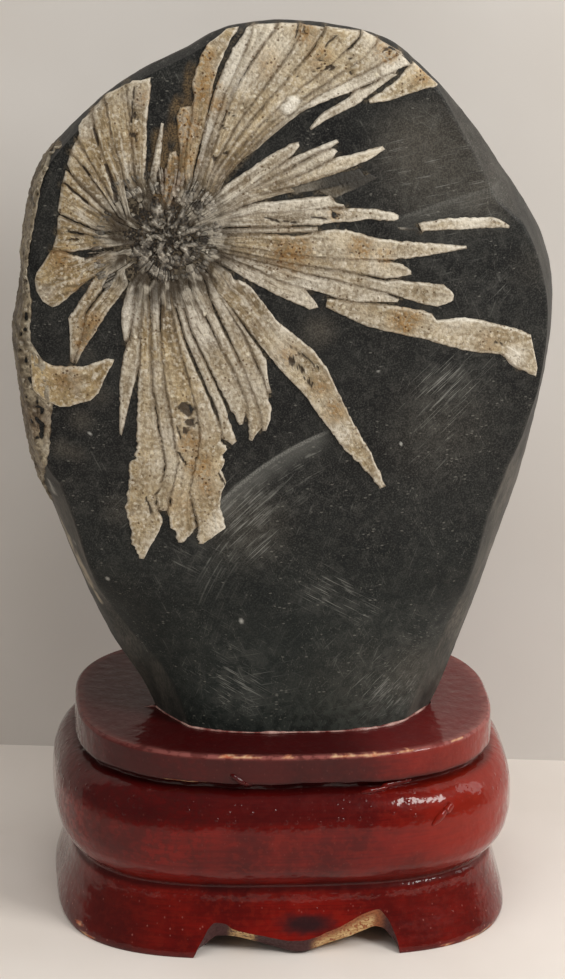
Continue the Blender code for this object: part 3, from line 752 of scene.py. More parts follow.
        (-26.1, 203.9, -26, 202.8), (-3.2, 200.3, -3.1, 197.9), (6, 199.3, 6.1, 196.7),
        (15.8, 198.9, 13.7, 195.6), (23.2, 198, 21.1, 193.9), (25.9, 197.3, 24.7, 194.1),
        (28.2, 195.5, 28.3, 194.8),
    ]),
    "right_6": (0.6, [
        (-25.9, 202.6, -25.7, 201.7), (-8, 198.5, -7.7, 197.3), (10.2, 195.7, 10.6, 193),
        (21.7, 192.7, 22.1, 190), (23.3, 193, 24.8, 188.9), (32.9, 192, 32.1, 186.4),
        (37.1, 191.5, 35.6, 185.8), (39.1, 190.1, 38.4, 186.4), (40.2, 188.4, 40.1, 187.5),
    ]),
    "right_7": (0.45, [
        (-25.4, 201.5, -25.4, 201.1), (-16.8, 199.1, -16.5, 197.8), (-7.6, 196.7, -8.1, 193.7),
        (18, 190.4, 12.4, 187.5), (21.6, 189.2, 17.3, 187.3), (25.2, 187.6, 24.9, 187.1),
    ]),
    "right_8": (0.5, [
        (-26, 200.8, -26.5, 200.1), (-12.2, 195.6, -13.5, 192.5), (-8.1, 193, -9.9, 190.4),
        (-1, 191.1, -2.5, 186.9), (0.8, 189.2, 1, 185.3), (2.9, 186.6, 3.2, 185.9),
    ]),
    "right_long": (0.75, [
        (5.6, 188.1, 5.3, 186), (18.6, 186.6, 16.1, 180.8), (32.1, 184.4, 29.7, 177.2),
        (34.4, 183.2, 33, 176.6), (35.7, 181.5, 35.2, 175.8), (43.3, 182.1, 42.8, 173.4),
        (47.2, 181.4, 46.5, 172.5), (55.7, 179, 53.8, 171.5), (59.2, 177.7, 55.6, 170.4),
        (62.1, 176.3, 56.8, 168.6), (64.7, 166.3, 64.5, 164.4),
    ]),
    "right_hook": (0.75, [(53.7, 173.7, 56, 173.8), (56.4, 170.6, 59.8, 171), (59.4, 167.5, 62.9, 166.4)]),
    "far_right": (0.65, [
        (29.8, 208.5, 30.6, 206.8), (37.1, 209.5, 38.8, 206.8), (50, 209.4, 50.3, 207.1),
        (52.2, 208.9, 52.3, 207.1), (54.9, 207.1, 54.9, 206.8),
    ]),
    "far_right_stub": (-0.5, [(24.2, 207.6, 24.5, 207.2), (29.7, 207.3, 30, 206.8)]),
}
print("blades:", len(BLADES), "places along them:", sum(len(row) for _, row in BLADES.values()))

# %% [markdown]
# ## Where the crystals are stained and broken
#
# Iron has stained the crystals brown in patches, and softer grains have fallen out and left pits and slits.
# Each mark is a short row: a round patch is x, z, radius and strength, and a slit is a line with a
# half-width. These places were chosen one by one, since chance rarely makes a believable pattern of wear.

# %% Stains, pits and slits
HEART = np.array((-38.3, 204.4))
HEART_OUTLINE = [
    (-53, 204), (-50.4, 212.4), (-45, 218.5), (-38.6, 218.4), (-33, 219.5), (-27.5, 215), (-24.8, 208.6),
    (-25.4, 203), (-30, 196), (-34.5, 192.6), (-40, 191), (-47, 194.5), (-51, 199),
]
STAINS = [
    (-29.6, 254, 5.5, 1), (-27.5, 247.5, 5, 0.8), (-26, 241, 4.5, 0.6), (-33, 234, 6, 0.9),
    (-33.6, 225.5, 6, 0.8), (-36.6, 222, 5, 1), (-33.8, 237, 5, 1), (-30.4, 243, 3.5, 0.8),
    (-37.4, 216.5, 4, 0.6), (-44, 243, 4, 0.45), (-31, 147.5, 5, 0.8), (-28, 140.5, 5.5, 0.85),
    (-26.3, 134.5, 4, 0.7), (-33, 130, 6, 0.3), (4.5, 163.4, 5, 0.5), (9, 156.5, 5, 0.6), (-5, 173, 5, 0.4),
    (27, 182, 6.5, 0.8), (50, 174.5, 5, 0.35), (-4.6, 201.3, 8, 0.8), (14, 202.3, 5.5, 0.7),
    (20.5, 200, 4, 0.5), (7, 211.6, 4, 0.4), (-2.1, 260, 4.5, 0.85), (2, 254, 5, 0.5), (20, 255.4, 5, 1),
    (29.4, 248.6, 4, 0.8), (-66, 198.5, 6, 0.6), (-61, 191, 5, 0.45), (-57.5, 181, 5, 0.7),
    (-59.5, 175, 4, 0.7), (-64.5, 166, 6, 0.6), (-72, 152, 7, 0.7), (-12, 252, 6, 0.3), (-46, 232, 4, 0.3),
    (-56, 200.5, 4.5, 0.35),
]
PITS = [
    (-31.9, 157.2, 2.6, 1.1), (-30.6, 153.2, 1.9, 1), (-31.6, 150.4, 1.2, 0.9), (-3.2, 170.6, 1.1, 0.8),
    (-1.2, 168.2, 1.5, 1), (0.4, 165.8, 1, 0.8), (1.7, 164.4, 1.3, 0.9), (-34.4, 200.9, 1.6, 0.9),
    (-28.3, 204.8, 1.7, 1.2), (6.8, 211.5, 1.5, 1), (-46.5, 237.6, 1.2, 1), (-47, 232.4, 1, 0.9),
    (4.4, 251.4, 1.9, 0.8), (2.2, 253, 1.2, 0.6), (-2, 260, 1.5, 0.5), (19.8, 255.2, 2.2, 0.6),
    (54, 174, 1, 0.6), (52.4, 174.7, 0.8, 0.6), (-30.2, 214.2, 1.8, 1), (-31.8, 217.6, 1.4, 0.8),
    (-43.6, 201.8, 2.4, 0.7), (24.6, 182.4, 0.9, 0.4), (11.6, 201.6, 0.9, 0.5), (17.4, 203, 0.8, 0.4),
    (-25.8, 227.1, 1.1, 0.9), (-22.5, 228.3, 0.9, 0.9), (-23.8, 235.4, 0.9, 0.7), (-21.5, 238.7, 0.8, 0.6),
    (-18.5, 240.7, 0.9, 0.8), (-32.3, 217.2, 1.4, 1), (-28.3, 217.8, 1.3, 1), (-3.8, 248.5, 0.7, 0.7),
    (0.2, 250.2, 0.7, 0.6), (10.2, 253.3, 0.9, 0.8), (10.5, 249.4, 0.8, 0.7), (3, 250.7, 1.1, 0.8),
    (-12, 237, 0.8, 0.5), (7.3, 260.3, 0.8, 0.6),
]
SLITS = [
    (-11.6, 210.8, -8, 209.7, 0.5), (-6.8, 209.9, -3.2, 209.4, 0.5), (1, 210.9, 4.6, 210.5, 0.5),
    (-33.8, 144.4, -31.6, 141, 0.5), (-34.2, 152, -33.2, 148.2, 0.5), (-22.6, 138.4, -20.6, 134.6, 0.4),
    (-3.6, 174.6, 4, 168.6, 0.5), (6, 259.4, 3.4, 256.4, 0.45), (-3.9, 262, -4.6, 258.8, 0.4),
    (-46.9, 245, -47.4, 236, 0.4), (-42.4, 131, -40.8, 126.4, 0.45), (-57.4, 234.3, -56.2, 230, 0.5),
    (-60.1, 224, -58.3, 221.6, 0.45), (-54.1, 224.7, -52, 218.6, 0.65), (-52, 218.6, -51.2, 215.1, 0.8),
    (-64.7, 219.1, -62.1, 216.8, 0.55), (-62.1, 216.8, -58.8, 214.2, 0.5), (-64, 206.3, -60, 205.6, 0.5),
    (-63.5, 204.1, -61.3, 204.2, 0.4), (-59.3, 198.8, -54.7, 201.4, 0.7),
]
# A round white lump in the upper fan, as a short line.
NODULE = [(-6.4, 240.2, -4.8, 242.0, 2.1)]
# Places where the crystal is nearly white.
PALE = [
    (4, 232, 4, 0.5), (9.6, 236.4, 4, 0.6), (33, 196.5, 5, 0.5), (43, 184, 6, 0.5), (58, 171, 5, 0.6),
    (-66, 183.5, 3.5, 0.6), (-37.5, 116, 8, 0.6), (-22, 123, 6, 0.5), (10.6, 149.5, 6, 0.5),
    (44, 208.8, 8, 0.4), (-18, 247, 6, 0.3),
]
print("stains, pits and slits:", len(STAINS), len(PITS), len(SLITS))

# %% [markdown]
# ## Marks on the crystals
#
# The tables become smooth numbers for each point. Noise bends every border first, because a perfectly
# round stain is the surest sign of a made-up one. Near the heart the grains are long and point outwards,
# so there the noise is taken in polar coordinates.

# %% Marks on the crystals


def radial_ridges(x, z):
    """Noise in polar coordinates round the heart, so that its lumps are long and point outwards."""
    across, up = x - HEART[0], z - HEART[1]
    away = np.maximum(np.hypot(across, up), 1e-6)
    turned = 8.0 / np.maximum(away, 5.0)
    return np.clip(1.9 * noise(beside(across * turned, up * turned, away * 0.34), 1.45, 73, 3), -1.0, 1.0)


def crystal_marks(x, z):
    """Everything the crystal finish reads that depends only on where a point is."""
    away = np.hypot(x - HEART[0], z - HEART[1])
    flat = beside(x, z)
    pale = np.clip(bumps(x, z, PALE) * 1.3, 0.0, 1.0)
    shift = 1.25 * noise(flat, 1.1, 49, 3)
    lump = near_lines(x + 0.4 * shift, z - 0.4 * shift, NODULE)
    round_it = near_lines(x, z, [(*row[:4], 3.4) for row in NODULE])
    bent_x, bent_z = x + 0.8 * noise(flat, 1.4, 43, 2), z + 0.8 * noise(flat, 1.4, 47, 2)
    stain = np.clip(1.7 * bumps(bent_x, bent_z, STAINS), 0.0, 1.0)
    stain = stain * (0.75 + 0.5 * noise(beside(bent_x, bent_z), 2.2, 41, 2))
    slit = near_lines(x + 0.3 * (bent_x - x), z + 0.3 * (bent_z - z), SLITS)
    pit = np.clip(1.6 * bumps(bent_x + shift, bent_z - shift, PITS), 0.0, 1.0)
    hollow = np.maximum(np.maximum(pit, 0.85 * slit), 0.55 * round_it) * (1.0 - lump)
    return {
        "stain": np.clip(stain, 0.0, 1.0),
        "hollow": hollow,
        "grain": 1.0 - smooth_step(away, 11.0, 25.0),
        "inner": 1.0 - smooth_step(away, 20.0, 48.0),
        "ridge": radial_ridges(x, z),
        "pale": np.maximum(pale, lump),
    }


print("how hollow a pit in the bundle is:", crystal_marks(-31.9, 157.2)["hollow"].round(2))

# %% [markdown]
# ## Where blades start and where they touch
#
# A blade starts out of the crust of the heart, so each gets one more place near it. Where two blades grew
# side by side there is no stone between them, and it matters later how close the second-nearest edge is.
# Distances to all edges would be slow, so only points near a blade are measured against it.

# %% Starts and seams of the blades


def count_up(values):
    """Distance travelled at each point of a line of points."""
    steps = np.hypot(*np.diff(values, axis=0).T[:2]) + 1e-6
    return np.concatenate(([0.0], np.cumsum(steps)))


def rooted(row, seed):
    """A blade's edges, with one more place nearer the heart where the blade starts out of the crust."""
    edges = np.array(row, dtype=float)
    first = edges[0].reshape(2, 2)
    middle = first.mean(0)
    away = np.hypot(*(middle - HEART))
    if away < 20.0:
        reach = 7.5 + 5.0 * hashed(np.array([seed, 5]), 13)
        centre = HEART + (middle - HEART) * min(0.9, reach / away)
        narrow = 0.25 + 0.35 * reach / away
        edges = np.concatenate(((centre + (first - middle) * narrow).reshape(1, 4), edges))
    return edges


def blade_lines():
    """Every blade's two edges as close-set points, to measure how near a place is to each blade."""
    found = []
    for seed, (_, row) in enumerate(BLADES.values()):
        edges = rooted(row, seed)
        run = count_up((edges[:, :2] + edges[:, 2:]) / 2.0)
        s = np.linspace(0.0, run[-1], int(run[-1] / 0.5) + 2)
        found.append(beside(*(np.interp(s, run, edges[:, k]) for k in range(4))).reshape(-1, 2))
    return found


BLADE_LINES = blade_lines()


def near_two_blades(x, z):
    """1 where the edges of two different blades are both close, falling to 0 at 1.5 mm."""
    flat_x, flat_z = np.ravel(x), np.ravel(z)
    nearest = np.full((2, len(flat_x)), 99.0)
    for line in BLADE_LINES:
        low, high = line.min(0) - 2.0, line.max(0) + 2.0
        beyond = (flat_x < low[0]) | (flat_x > high[0]) | (flat_z < low[1]) | (flat_z > high[1])
        close = np.flatnonzero(~beyond)
        if len(close):
            away = np.hypot(flat_x[close, None] - line[:, 0], flat_z[close, None] - line[:, 1]).min(1)
            nearest[:, close] = np.sort(np.vstack((nearest[:, close], away)), axis=0)[:2]
    return (1.0 - smooth_step(nearest[1], 0.7, 1.5)).reshape(np.shape(x))


print("places on blade edges:", sum(len(line) for line in BLADE_LINES))

# %% [markdown]
# ## The edges of a blade
#
# The edges in the table are smooth, but real ones are broken and uneven. Noise moves both edges outwards
# and inwards as they run away from the heart, less where the blade is narrow and more at the lowest tips,
# which are badly chipped. Where two blades touch, both grow a little, so that the gap between them closes.

# %% Uneven edges
BLADE_STEP, GROWN = 0.62, 0.24


def blade_edges(row, seed):
    """Distances along a blade, and there its left and right edges, and its width in the table."""
    edges = rooted(row, seed)
    run = count_up((edges[:, :2] + edges[:, 2:]) / 2.0)
    s = np.linspace(0.0, run[-1], max(8, int(run[-1] / BLADE_STEP) + 1))
    edges = beside(*(np.interp(s, run, edges[:, k]) for k in range(4)))
    left, right = edges[:, :2], edges[:, 2:]
    width = np.hypot(*(right - left).T) + 1e-6
    sideways = (right - left) / width[:, None]
    chipped = 1.0 + 1.4 * smooth_step(HEART[1] - edges[:, 1], 50.0, 62.0)
    for side, edge in enumerate((left, right)):
        at = beside(s, 31.7 * seed + 5.0 * side)
        broken = chipped * (0.20 * noise(at, 1.5, seed, 2) + 0.16 * noise(at, 0.6, seed + 3))
        from_heart = np.hypot(*(edge - HEART).T)
        closed = near_two_blades(*edge.T) * smooth_step(from_heart, 18.0, 34.0)
        closed = closed * smooth_step(noise(at, 7.0, seed + 5), -0.15, 0.35)
        grown = GROWN + np.clip(width / 2.5, 0.25, 1.0) * broken + 0.36 * closed
        edge += (2 * side - 1) * sideways * grown[:, None]
    return s, left, right, width


first_row = next(iter(BLADES.values()))[1]
print("width of the first blade:", blade_edges(first_row, 0)[3].round(1)[::8])

# %% [markdown]
# ## One blade
#
# A blade is a closed tube. Its section is a low ridge that stands half a millimetre out of the stone,
# rounded at both edges, with two corners sunk below the surface. It also carries the direction of the
# fibres, so that the material can draw streaks that run along each blade. Curves with a bevel could make
# tubes like these, but not with edges that change so freely.

# %% Sweep a section along each blade
BLADE_RELIEF, BURIED_RELIEF, SUNK = 0.55, 0.10, 0.8


def blade_part(tone, row, seed):
    """A closed tube between two edges: rise = 1 - (1 - d / 0.45)^2 near an edge, d from that edge."""
    s, left, right, width = blade_edges(row, seed)
    s, width = s[:, None], width[:, None]
    columns = int(np.clip(width.max() / 0.5 + 6, 8, 22))
    v = (1.0 - np.cos(math.pi * np.arange(columns) / (columns - 1))) / 2.0
    x, z = np.moveaxis(left[:, None, :] + (right - left)[:, None, :] * v[:, None], -1, 0)
    from_edge, from_tip = np.minimum(v, 1.0 - v) * width, s[-1] - s
    joined = near_two_blades(x, z)
    rise = 1.0 - (1.0 - np.clip(from_edge / 0.45, 0.0, 1.0)) ** 2
    rise = np.maximum(rise, 0.7 * joined) * (1.0 - (1.0 - np.clip(from_tip / 0.8, 0.0, 1.0)) ** 2)
    marks = crystal_marks(x, z)
    fibre = beside(s, (v - 0.5) * width, 7.3 * seed)
    lean = 0.22 * (2.0 * hashed(np.array([seed, 1]), 7) - 1.0) * (v - 0.5) * 2.0
    ribs = 0.10 * noise(fibre * (0.18, 1.0, 1.0), 0.8, 51, 2)
    grit = 0.34 * marks["grain"] * marks["ridge"]
    relief = BLADE_RELIEF if tone >= 0.0 else BURIED_RELIEF
    from_heart = np.hypot(x - HEART[0], z - HEART[1])
    body = relief + 0.12 * hashed(np.array([seed, 2]), 9) + lean * (tone >= 0.0)
    body = body * (0.35 + 0.65 * smooth_step(from_heart, 8.0, 16.0))
    height = rise * (body + ribs + grit) - np.minimum(0.9 * marks["hollow"], relief) * rise
    point, out = on_front(x, z)
    grid = np.concatenate((point + out * height[..., None], (point - SUNK * out)[:, (-1, 0)]), axis=1)
    marks |= {
        "tone": np.full_like(x, abs(tone)),
        "shade": np.full_like(x, hashed(np.array([seed, 3]), 15)),
        "edge": np.minimum(from_edge, from_tip),
        "joined": joined,
        "buried": (tone < 0.0) * (0.75 + 0.25 * smooth_step(s / s[-1], 0.15, 0.6)) + 0.0 * x,
        "fibre": fibre,
    }
    ringed = {key: np.concatenate((m, m[:, (-1, 0)]), axis=1) for key, m in marks.items()}
    flat_marks = {key: m.reshape(-1, 3) if m.ndim == 3 else m.ravel() for key, m in ringed.items()}
    return grid.reshape(-1, 3), tube_faces(len(s), columns + 2), flat_marks


blades = [blade_part(tone, row, seed) for seed, (tone, row) in enumerate(BLADES.values())]
half = len(blades) // 2
for name, some in (("blades_left", blades[:half]), ("blades_right", blades[half:])):
    belongs(make_object(name, some, [finish["crystal"]]), "stone")

# %% [markdown]
# ## Dirt between the blades
#
# In the narrow gaps the stone is never seen clean: grinding dust and grains of crystal fill them. Between
# the two upper fans it's also rusty, along the lines of the table. The blades were made first, so the stone
# can now be asked where two of them are close.

# %% Dirt in the gaps between blades
RUSTY_COLUMN = [
    (-38.6, 213, -36.6, 226, 5), (-36.6, 226, -33.6, 240.5, 4.2), (-41, 214, -39.4, 232, 3.2),
    (-33.4, 238, -31.6, 250, 2.2),
]
x, y, z = read_points(stone.data).T
front = (y < -5.0).astype(float)
middle = 1.0 - smooth_step(np.hypot(x - HEART[0], z - HEART[1]), 15.0, 18.5)
streaks = noise(np.column_stack((1.5 * x, 0.5 * z)), 1.6, 59, 3)
column = near_lines(x + 1.2 * streaks, z, RUSTY_COLUMN) * smooth_step(streaks, -0.7, 0.1) * front
write_marks(stone.data, {
    "between": np.maximum(near_two_blades(x, z), middle) * front, "column": column,
})
print("points in dirty gaps:", int((near_two_blades(x, z) * front > 0.5).sum()))

# %% [markdown]
# ## The heart of the flower
#
# Where the blades meet, the crystals are small and broken, pale grains and dark holes side by side. The
# heart is a rough crust on a polar grid, finer towards its middle as such grids are. It dips into the
# stone at a ragged edge, so that no border shows.

# %% The crust over the heart
HEART_RINGS, HEART_SPOKES = 60, 300


def heart_crust():
    """A polar grid over the heart: knobbly in the middle, and sunk into the stone at its edge."""
    angle = np.linspace(-math.pi, math.pi, HEART_SPOKES, endpoint=False)
    reach = np.interp(angle, *radius_by_angle(closed_curve(HEART_OUTLINE, 8), HEART), period=2 * math.pi)
    reach = reach * (1.05 + 0.3 * noise(6.0 * beside(np.cos(angle), np.sin(angle)), 1.1, 61, 3))
    share = (np.arange(HEART_RINGS) + 0.5)[:, None] / HEART_RINGS
    x = HEART[0] + share * reach * np.cos(angle)
    z = HEART[1] + share * reach * np.sin(angle)
    edge = 1.0 - smooth_step(share, 0.45, 1.0)
    marks = crystal_marks(x, z)
    lumps = 0.62 * marks["ridge"] + 0.30 * noise(beside(x, z), 1.1, 65, 2)
    height = edge * (0.20 + lumps - 0.7 * marks["hollow"]) - 0.45 * (1.0 - edge)
    marks["height"] = height
    point, out = on_front(x, z)
    top = point + out * np.maximum(height, 0.30 * smooth_step(edge, 0.2, 0.6) - 0.3)[..., None]
    grid = np.concatenate((top, point[-1:] - SUNK * out[-1:]))
    flat_marks = {key: np.concatenate((m, m[-1:])).ravel() for key, m in marks.items()}
    return grid.reshape(-1, 3), tube_faces(HEART_RINGS + 1, HEART_SPOKES), flat_marks


print("reach of the heart:", np.ptp(np.array(HEART_OUTLINE), axis=0), "mm")

# %% [markdown]
# ## Splinters in the heart
#
# Hundreds of splinters lie over the crust and point outwards from its middle. Every one is the same small
# spindle, with its own length, width, lean and tone. Instances on points would do this too, but worked
# out as one block of numbers they become part of the same piece as the crust.

# %% Splinters
SPLINTERS = 560


def splinters():
    """One spindle, six-sided and seven rings long, repeated at hashed places and sizes."""
    which = np.arange(SPLINTERS)
    pick = [hashed(beside(which, k), 71)[:, None, None] for k in range(8)]
    angle = 2.0 * math.pi * pick[0]
    away = 1.0 + 18.5 * pick[1] ** 0.75
    length = (1.2 + 3.0 * pick[2]) * (0.5 + away / 16.0)
    width = 0.22 + 0.34 * pick[3]
    turn = angle + 0.5 * (pick[4] - 0.5) * np.where(away < 7.0, 3.0, 0.5)
    s = np.linspace(-1.0, 1.0, 7)[:, None]
    round_it = np.arange(6) * math.pi / 3.0
    girth = np.clip(1.0 - s**4, 0.02, None) ** 0.6
    along = s * length / 2.0 + 0.0 * round_it
    across = girth * np.cos(round_it) * width
    up = girth * np.sin(round_it) * 0.5 * width + 0.10 * along * (pick[5] - 0.5)
    x = HEART[0] + away * np.cos(angle) + along * np.cos(turn) - across * np.sin(turn)
    z = HEART[1] + away * np.sin(angle) + along * np.sin(turn) + across * np.cos(turn)
    point, out = on_front(x, z)
    lift = 0.05 + 0.50 * pick[6] + up
    grid = point + out * lift[..., None]
    marks = crystal_marks(x, z) | {"height": lift + 0.8 * (pick[7] - 0.45)}
    return [
        (grid[i].reshape(-1, 3), tube_faces(7, 6), {key: m[i].ravel() for key, m in marks.items()})
        for i in range(SPLINTERS)
    ]


heart = make_object("crystal_heart", [heart_crust(), *splinters()], [finish["crystal_heart"]])
belongs(heart, "stone")

# %% [markdown]
# ## The crust on the left edge
#
# On the left the flower's outer crystals reach the edge of the slab, where they were never ground. They
# make a thin pale crust, full of pits and dark with dirt on its outer side. How far it reaches onto the
# face changes with the direction, so that is a table, and so are its pits and dark places.

# %% Tables of the crust
# For each direction in degrees: how far in from the outline the crust reaches.
CRUST_REACH = [
    (132, 0.2), (134, 0.2), (137, 0.4), (139.3, 1), (141.5, 1.6), (143.7, 1.7), (145.6, 1.7), (148.2, 1.5),
    (152, 1.3), (155, 1.4), (157, 2.1), (161.4, 3.1), (164.5, 3.5), (168, 4.3), (170, 6.2), (172.6, 8.9),
    (176.2, 9.4), (181, 9.2), (186.7, 7.7), (191.7, 6.6), (196.3, 5), (200.3, 3), (203.5, 1.6), (206, 1.2),
    (209, 0.9), (211, 0.4),
]
CRUST_PITS = [
    (-71.5, 155.2, 1.9, 1.5), (-73.6, 213.4, 1.3, 0.7), (-71.4, 221.2, 0.8, 0.6), (-72.5, 218.4, 0.8, 0.6),
    (-74.8, 209.8, 0.9, 0.6), (-70.5, 163, 1.2, 0.6), (-74, 164.5, 1, 0.6), (-72, 171, 0.9, 0.6),
    (-75, 190.5, 1.2, 0.8), (-74.6, 182.5, 0.9, 0.6), (-75.2, 178.4, 0.9, 0.7), (-70.6, 158.8, 0.9, 0.5),
]
CRUST_HOLES = [(-72.4, 152.6, -70.6, 151.0, 0.8), (-70.8, 150.6, -70.6, 147.4, 0.9)]
# Brown or nearly black places on the outer part of the crust.
CRUST_DARK = [
    (-76.6, 187, 2.4, 1), (-77.2, 182, 2.6, 0.9), (-77.6, 177, 2.8, 1), (-77, 170.5, 3.6, 1.2),
    (-75.6, 152, 2.4, 1), (-74.6, 147, 2.2, 0.9), (-73.6, 213.4, 2, 0.9), (-73.4, 174, 1.2, 0.7),
    (-71.2, 166.6, 1.4, 0.5), (-74.6, 198, 1.5, 0.6), (-75.4, 193, 1.8, 1), (-69.5, 137.5, 2.2, 0.4),
]
print("directions in the crust's table:", len(CRUST_REACH))

# %% [markdown]
# ## The crust as a strip
#
# The crust's grid runs down the edge of the stone, and across it from just behind the outline to a little
# way onto the face. It's laid on the stone's own formula and then lifted, so it can't float or sink. Its
# back edge is ragged, because a straight one would look like tape.

# %% The ground under the crust
CRUST_ROWS, CRUST_COLUMNS = 330, 56


def crust_ground():
    """The stone's surface under the crust: rows go down the edge, and columns from back to face.

    It comes with its directions outwards, with how far onto the face each point is, and with a share
    that falls to 0 at every border.
    """
    degrees = np.linspace(CRUST_REACH[0][0], CRUST_REACH[-1][0], CRUST_ROWS)[:, None]
    angle, at = np.radians(degrees), np.hstack((degrees, degrees * 0.0))
    ragged = noise(at, 1.1, 81, 3)[:, None]
    reach = np.clip(np.interp(degrees, *np.array(CRUST_REACH).T) + 0.45 * ragged, 0.2, None)
    inset = np.interp((degrees + 180.0) % 360.0 - 180.0, *INSET, period=360.0)
    share = np.linspace(0.0, 1.0, CRUST_COLUMNS)
    ahead, behind = np.clip((share - 0.35) / 0.65, 0.0, 1.0), np.clip((0.35 - share) / 0.35, 0.0, 1.0)
    inward = reach * ahead
    onto_face = (rim_radius(angle) - inward) / ridge_radius(angle)
    slope = bevel_slope(1.0 - np.minimum(inward / inset, 1.0))
    far_back = 0.13 + 0.17 * noise(at, 4.0, 82, 3)[:, None]
    far_back = np.clip(far_back, 0.03, None) * smooth_step(degrees, 132.0, 146.0)
    far_back = far_back * (1.0 - smooth_step(degrees, 196.0, 211.0))
    ring = np.where(inward > inset, onto_face, 1.0 + slope) + behind * np.minimum(far_back, 0.08 * reach)
    grid = spoke_point(angle, ring)
    normal = unit(np.cross(*np.gradient(grid, axis=(0, 1))))
    normal *= np.sign(normal[CRUST_ROWS // 2, CRUST_COLUMNS // 2] @ (-0.6, -0.8, 0.0))
    edge = np.minimum(smooth_step(share, 0.0, 0.08), 1.0 - smooth_step(ahead, 0.87, 1.0))
    edge = edge * smooth_step(degrees, 132.0, 134.0) * (1.0 - smooth_step(degrees, 208.0, 211.0))
    return grid, normal, ahead + 0.0 * degrees, edge


crust = crust_ground()
print("the crust lies from", crust[0].min((0, 1)).round(1), "to", crust[0].max((0, 1)).round(1))

# %% [markdown]
# ## Lumps, pits and dirt on the crust
#
# Three sizes of lumps lift the crust off the stone, and pits and two open holes go back through it. Its
# border always dips under the surface. The marks come from the same numbers, so dirt lies in the same
# hollows that the shape has.

# %% The pale crust


def edge_crust(grid, normal, ahead, edge):
    """A closed strip, raised by thickness + lumps - 1.1 hollow, and 0.1 mm under the ground at its border."""
    x, z = grid[..., 0], grid[..., 2]
    pits = np.clip(1.5 * bumps(x, z, CRUST_PITS), 0.0, 1.0)
    pits = pits * smooth_step(noise(grid, 1.8, 84), -0.3, 0.3)
    shift = 0.7 * noise(grid, 1.5, 86, 2)
    pits = np.maximum(pits, near_lines(x + shift, z - shift, CRUST_HOLES) * smooth_step(ahead, 0.36, 0.49))
    lumps = 0.30 * noise(grid, 2.6, 83, 2) + 0.22 * noise(grid, 1.0, 85, 2)
    small = smooth_step(noise(grid, 1.5, 87), 0.35, 0.75)
    hollow = np.maximum(pits, 0.6 * small)
    thick = 0.30 + 0.18 * smooth_step(ahead, 0.04, 0.49) + 0.3 * smooth_step(ahead, 0.62, 0.81)
    height = edge * (thick + lumps - 1.1 * hollow) - 0.1 * (1.0 - edge)
    points = np.concatenate((grid + normal * height[..., None], (grid - SUNK * normal)[:, (-1, 0)]), axis=1)
    dark = np.clip(bumps(x, z, CRUST_DARK), 0.0, 1.0) * smooth_step(noise(grid, 2.4, 89, 2), -0.4, 0.0)
    outside = 1.0 - 0.7 * smooth_step(ahead, 0.4, 0.8)
    dirty = 0.8 * smooth_step(noise(grid, 4.5, 88, 3), -0.1, 0.35) * outside
    marks = {
        "hollow": hollow,
        "height": height,
        "stain": np.clip(bumps(x, z, STAINS), 0.0, 1.0),
        "dark": np.maximum(dark, dirty),
        "pale": smooth_step(ahead, 0.5, 0.85) * smooth_step(noise(grid, 2.0, 90), -0.4, 0.4),
    }
    flat_marks = {key: np.concatenate((m, m[:, (-1, 0)]), axis=1).ravel() for key, m in marks.items()}
    return points.reshape(-1, 3), tube_faces(CRUST_ROWS, CRUST_COLUMNS + 2), flat_marks


belongs(make_object("edge_crust", [edge_crust(*crust)], [finish["rim_crust"]]), "stone")

# %% [markdown]
# ## The moulding of the stand
#
# The stand is carved from one block and lacquered. From the table up it has feet, a waist, a round belly, a
# deep groove and a plate. The moulding says how far each level stands out at the ends and at the front. A
# curve joins the levels, of a kind that never overshoots, because an ordinary spline would bulge where the
# groove turns sharply.

# %% The moulding
STAND_HEIGHT = 58.7
PLATE_HALF = np.array((59.9, 43.3))
# Height, step out at the ends, step out at the front.
MOULDING = [
    (0, 5, 7.9), (1, 5.3, 8.2), (5, 4.6, 6.7), (10, 3.1, 4.3), (14.5, 1.9, 2.6), (17.7, 1.3, 1.8),
    (19.2, 0.5, 1.1), (20.4, 1.3, 1.9), (23, 3.5, 3.9), (27, 5.5, 5.6), (32, 6.3, 6.3), (37.5, 6.1, 6),
    (42, 5.1, 5), (45.5, 3.2, 3.1), (47.3, 1.1, 1), (48.5, -1.6, -1.7), (49.8, -1.4, -1.5),
    (50.7, 0.2, 0.2), (57.9, 0, 0), (58.7, -0.7, -0.7),
]
STAND_COLUMNS = 400


def flowing(where, at, values):
    """A smooth curve through values, whose slope at each is the harmonic mean of its neighbours'."""
    step = np.diff(at)
    slope = np.diff(values) / step
    product = slope[:-1] * slope[1:]
    mean = np.where(product > 0.0, 2.0 * product / np.where(product > 0.0, slope[:-1] + slope[1:], 1.0), 0.0)
    tangent = np.concatenate((slope[:1], mean, slope[-1:]))
    i = np.clip(np.searchsorted(at, where) - 1, 0, len(step) - 1)
    t = (where - at[i]) / step[i]
    return (
        values[i] * (1 + 2 * t) * (1 - t) ** 2 + values[i + 1] * t * t * (3 - 2 * t)
        + step[i] * t * (1 - t) * (tangent[i] * (1 - t) - tangent[i + 1] * t)
    )


print("a smooth curve halfway up a step:", flowing(0.5, np.arange(3.0), np.array((0.0, 1.0, 1.0))).round(2))

# %% [markdown]
# ## The stand as a surface
#
# The plan at every level is an oval with flattened sides, |x/a|^n + |y/b|^n = 1, squarer at the foot than at
# the plate. Hand carving shows as a slight waviness, so the surface moves in and out by up to a quarter of
# a millimetre, and more in the groove, where the gouge was hardest to steer.

# %% The stand as a dense surface
FOOT_SQUARENESS, PLATE_SQUARENESS = 3.27, 2.67
MOULD = np.array(MOULDING)
MOULD_RUN = np.concatenate(([0.0], np.cumsum(np.hypot(np.diff(MOULD[:, 0]), np.diff(MOULD[:, 2])))))


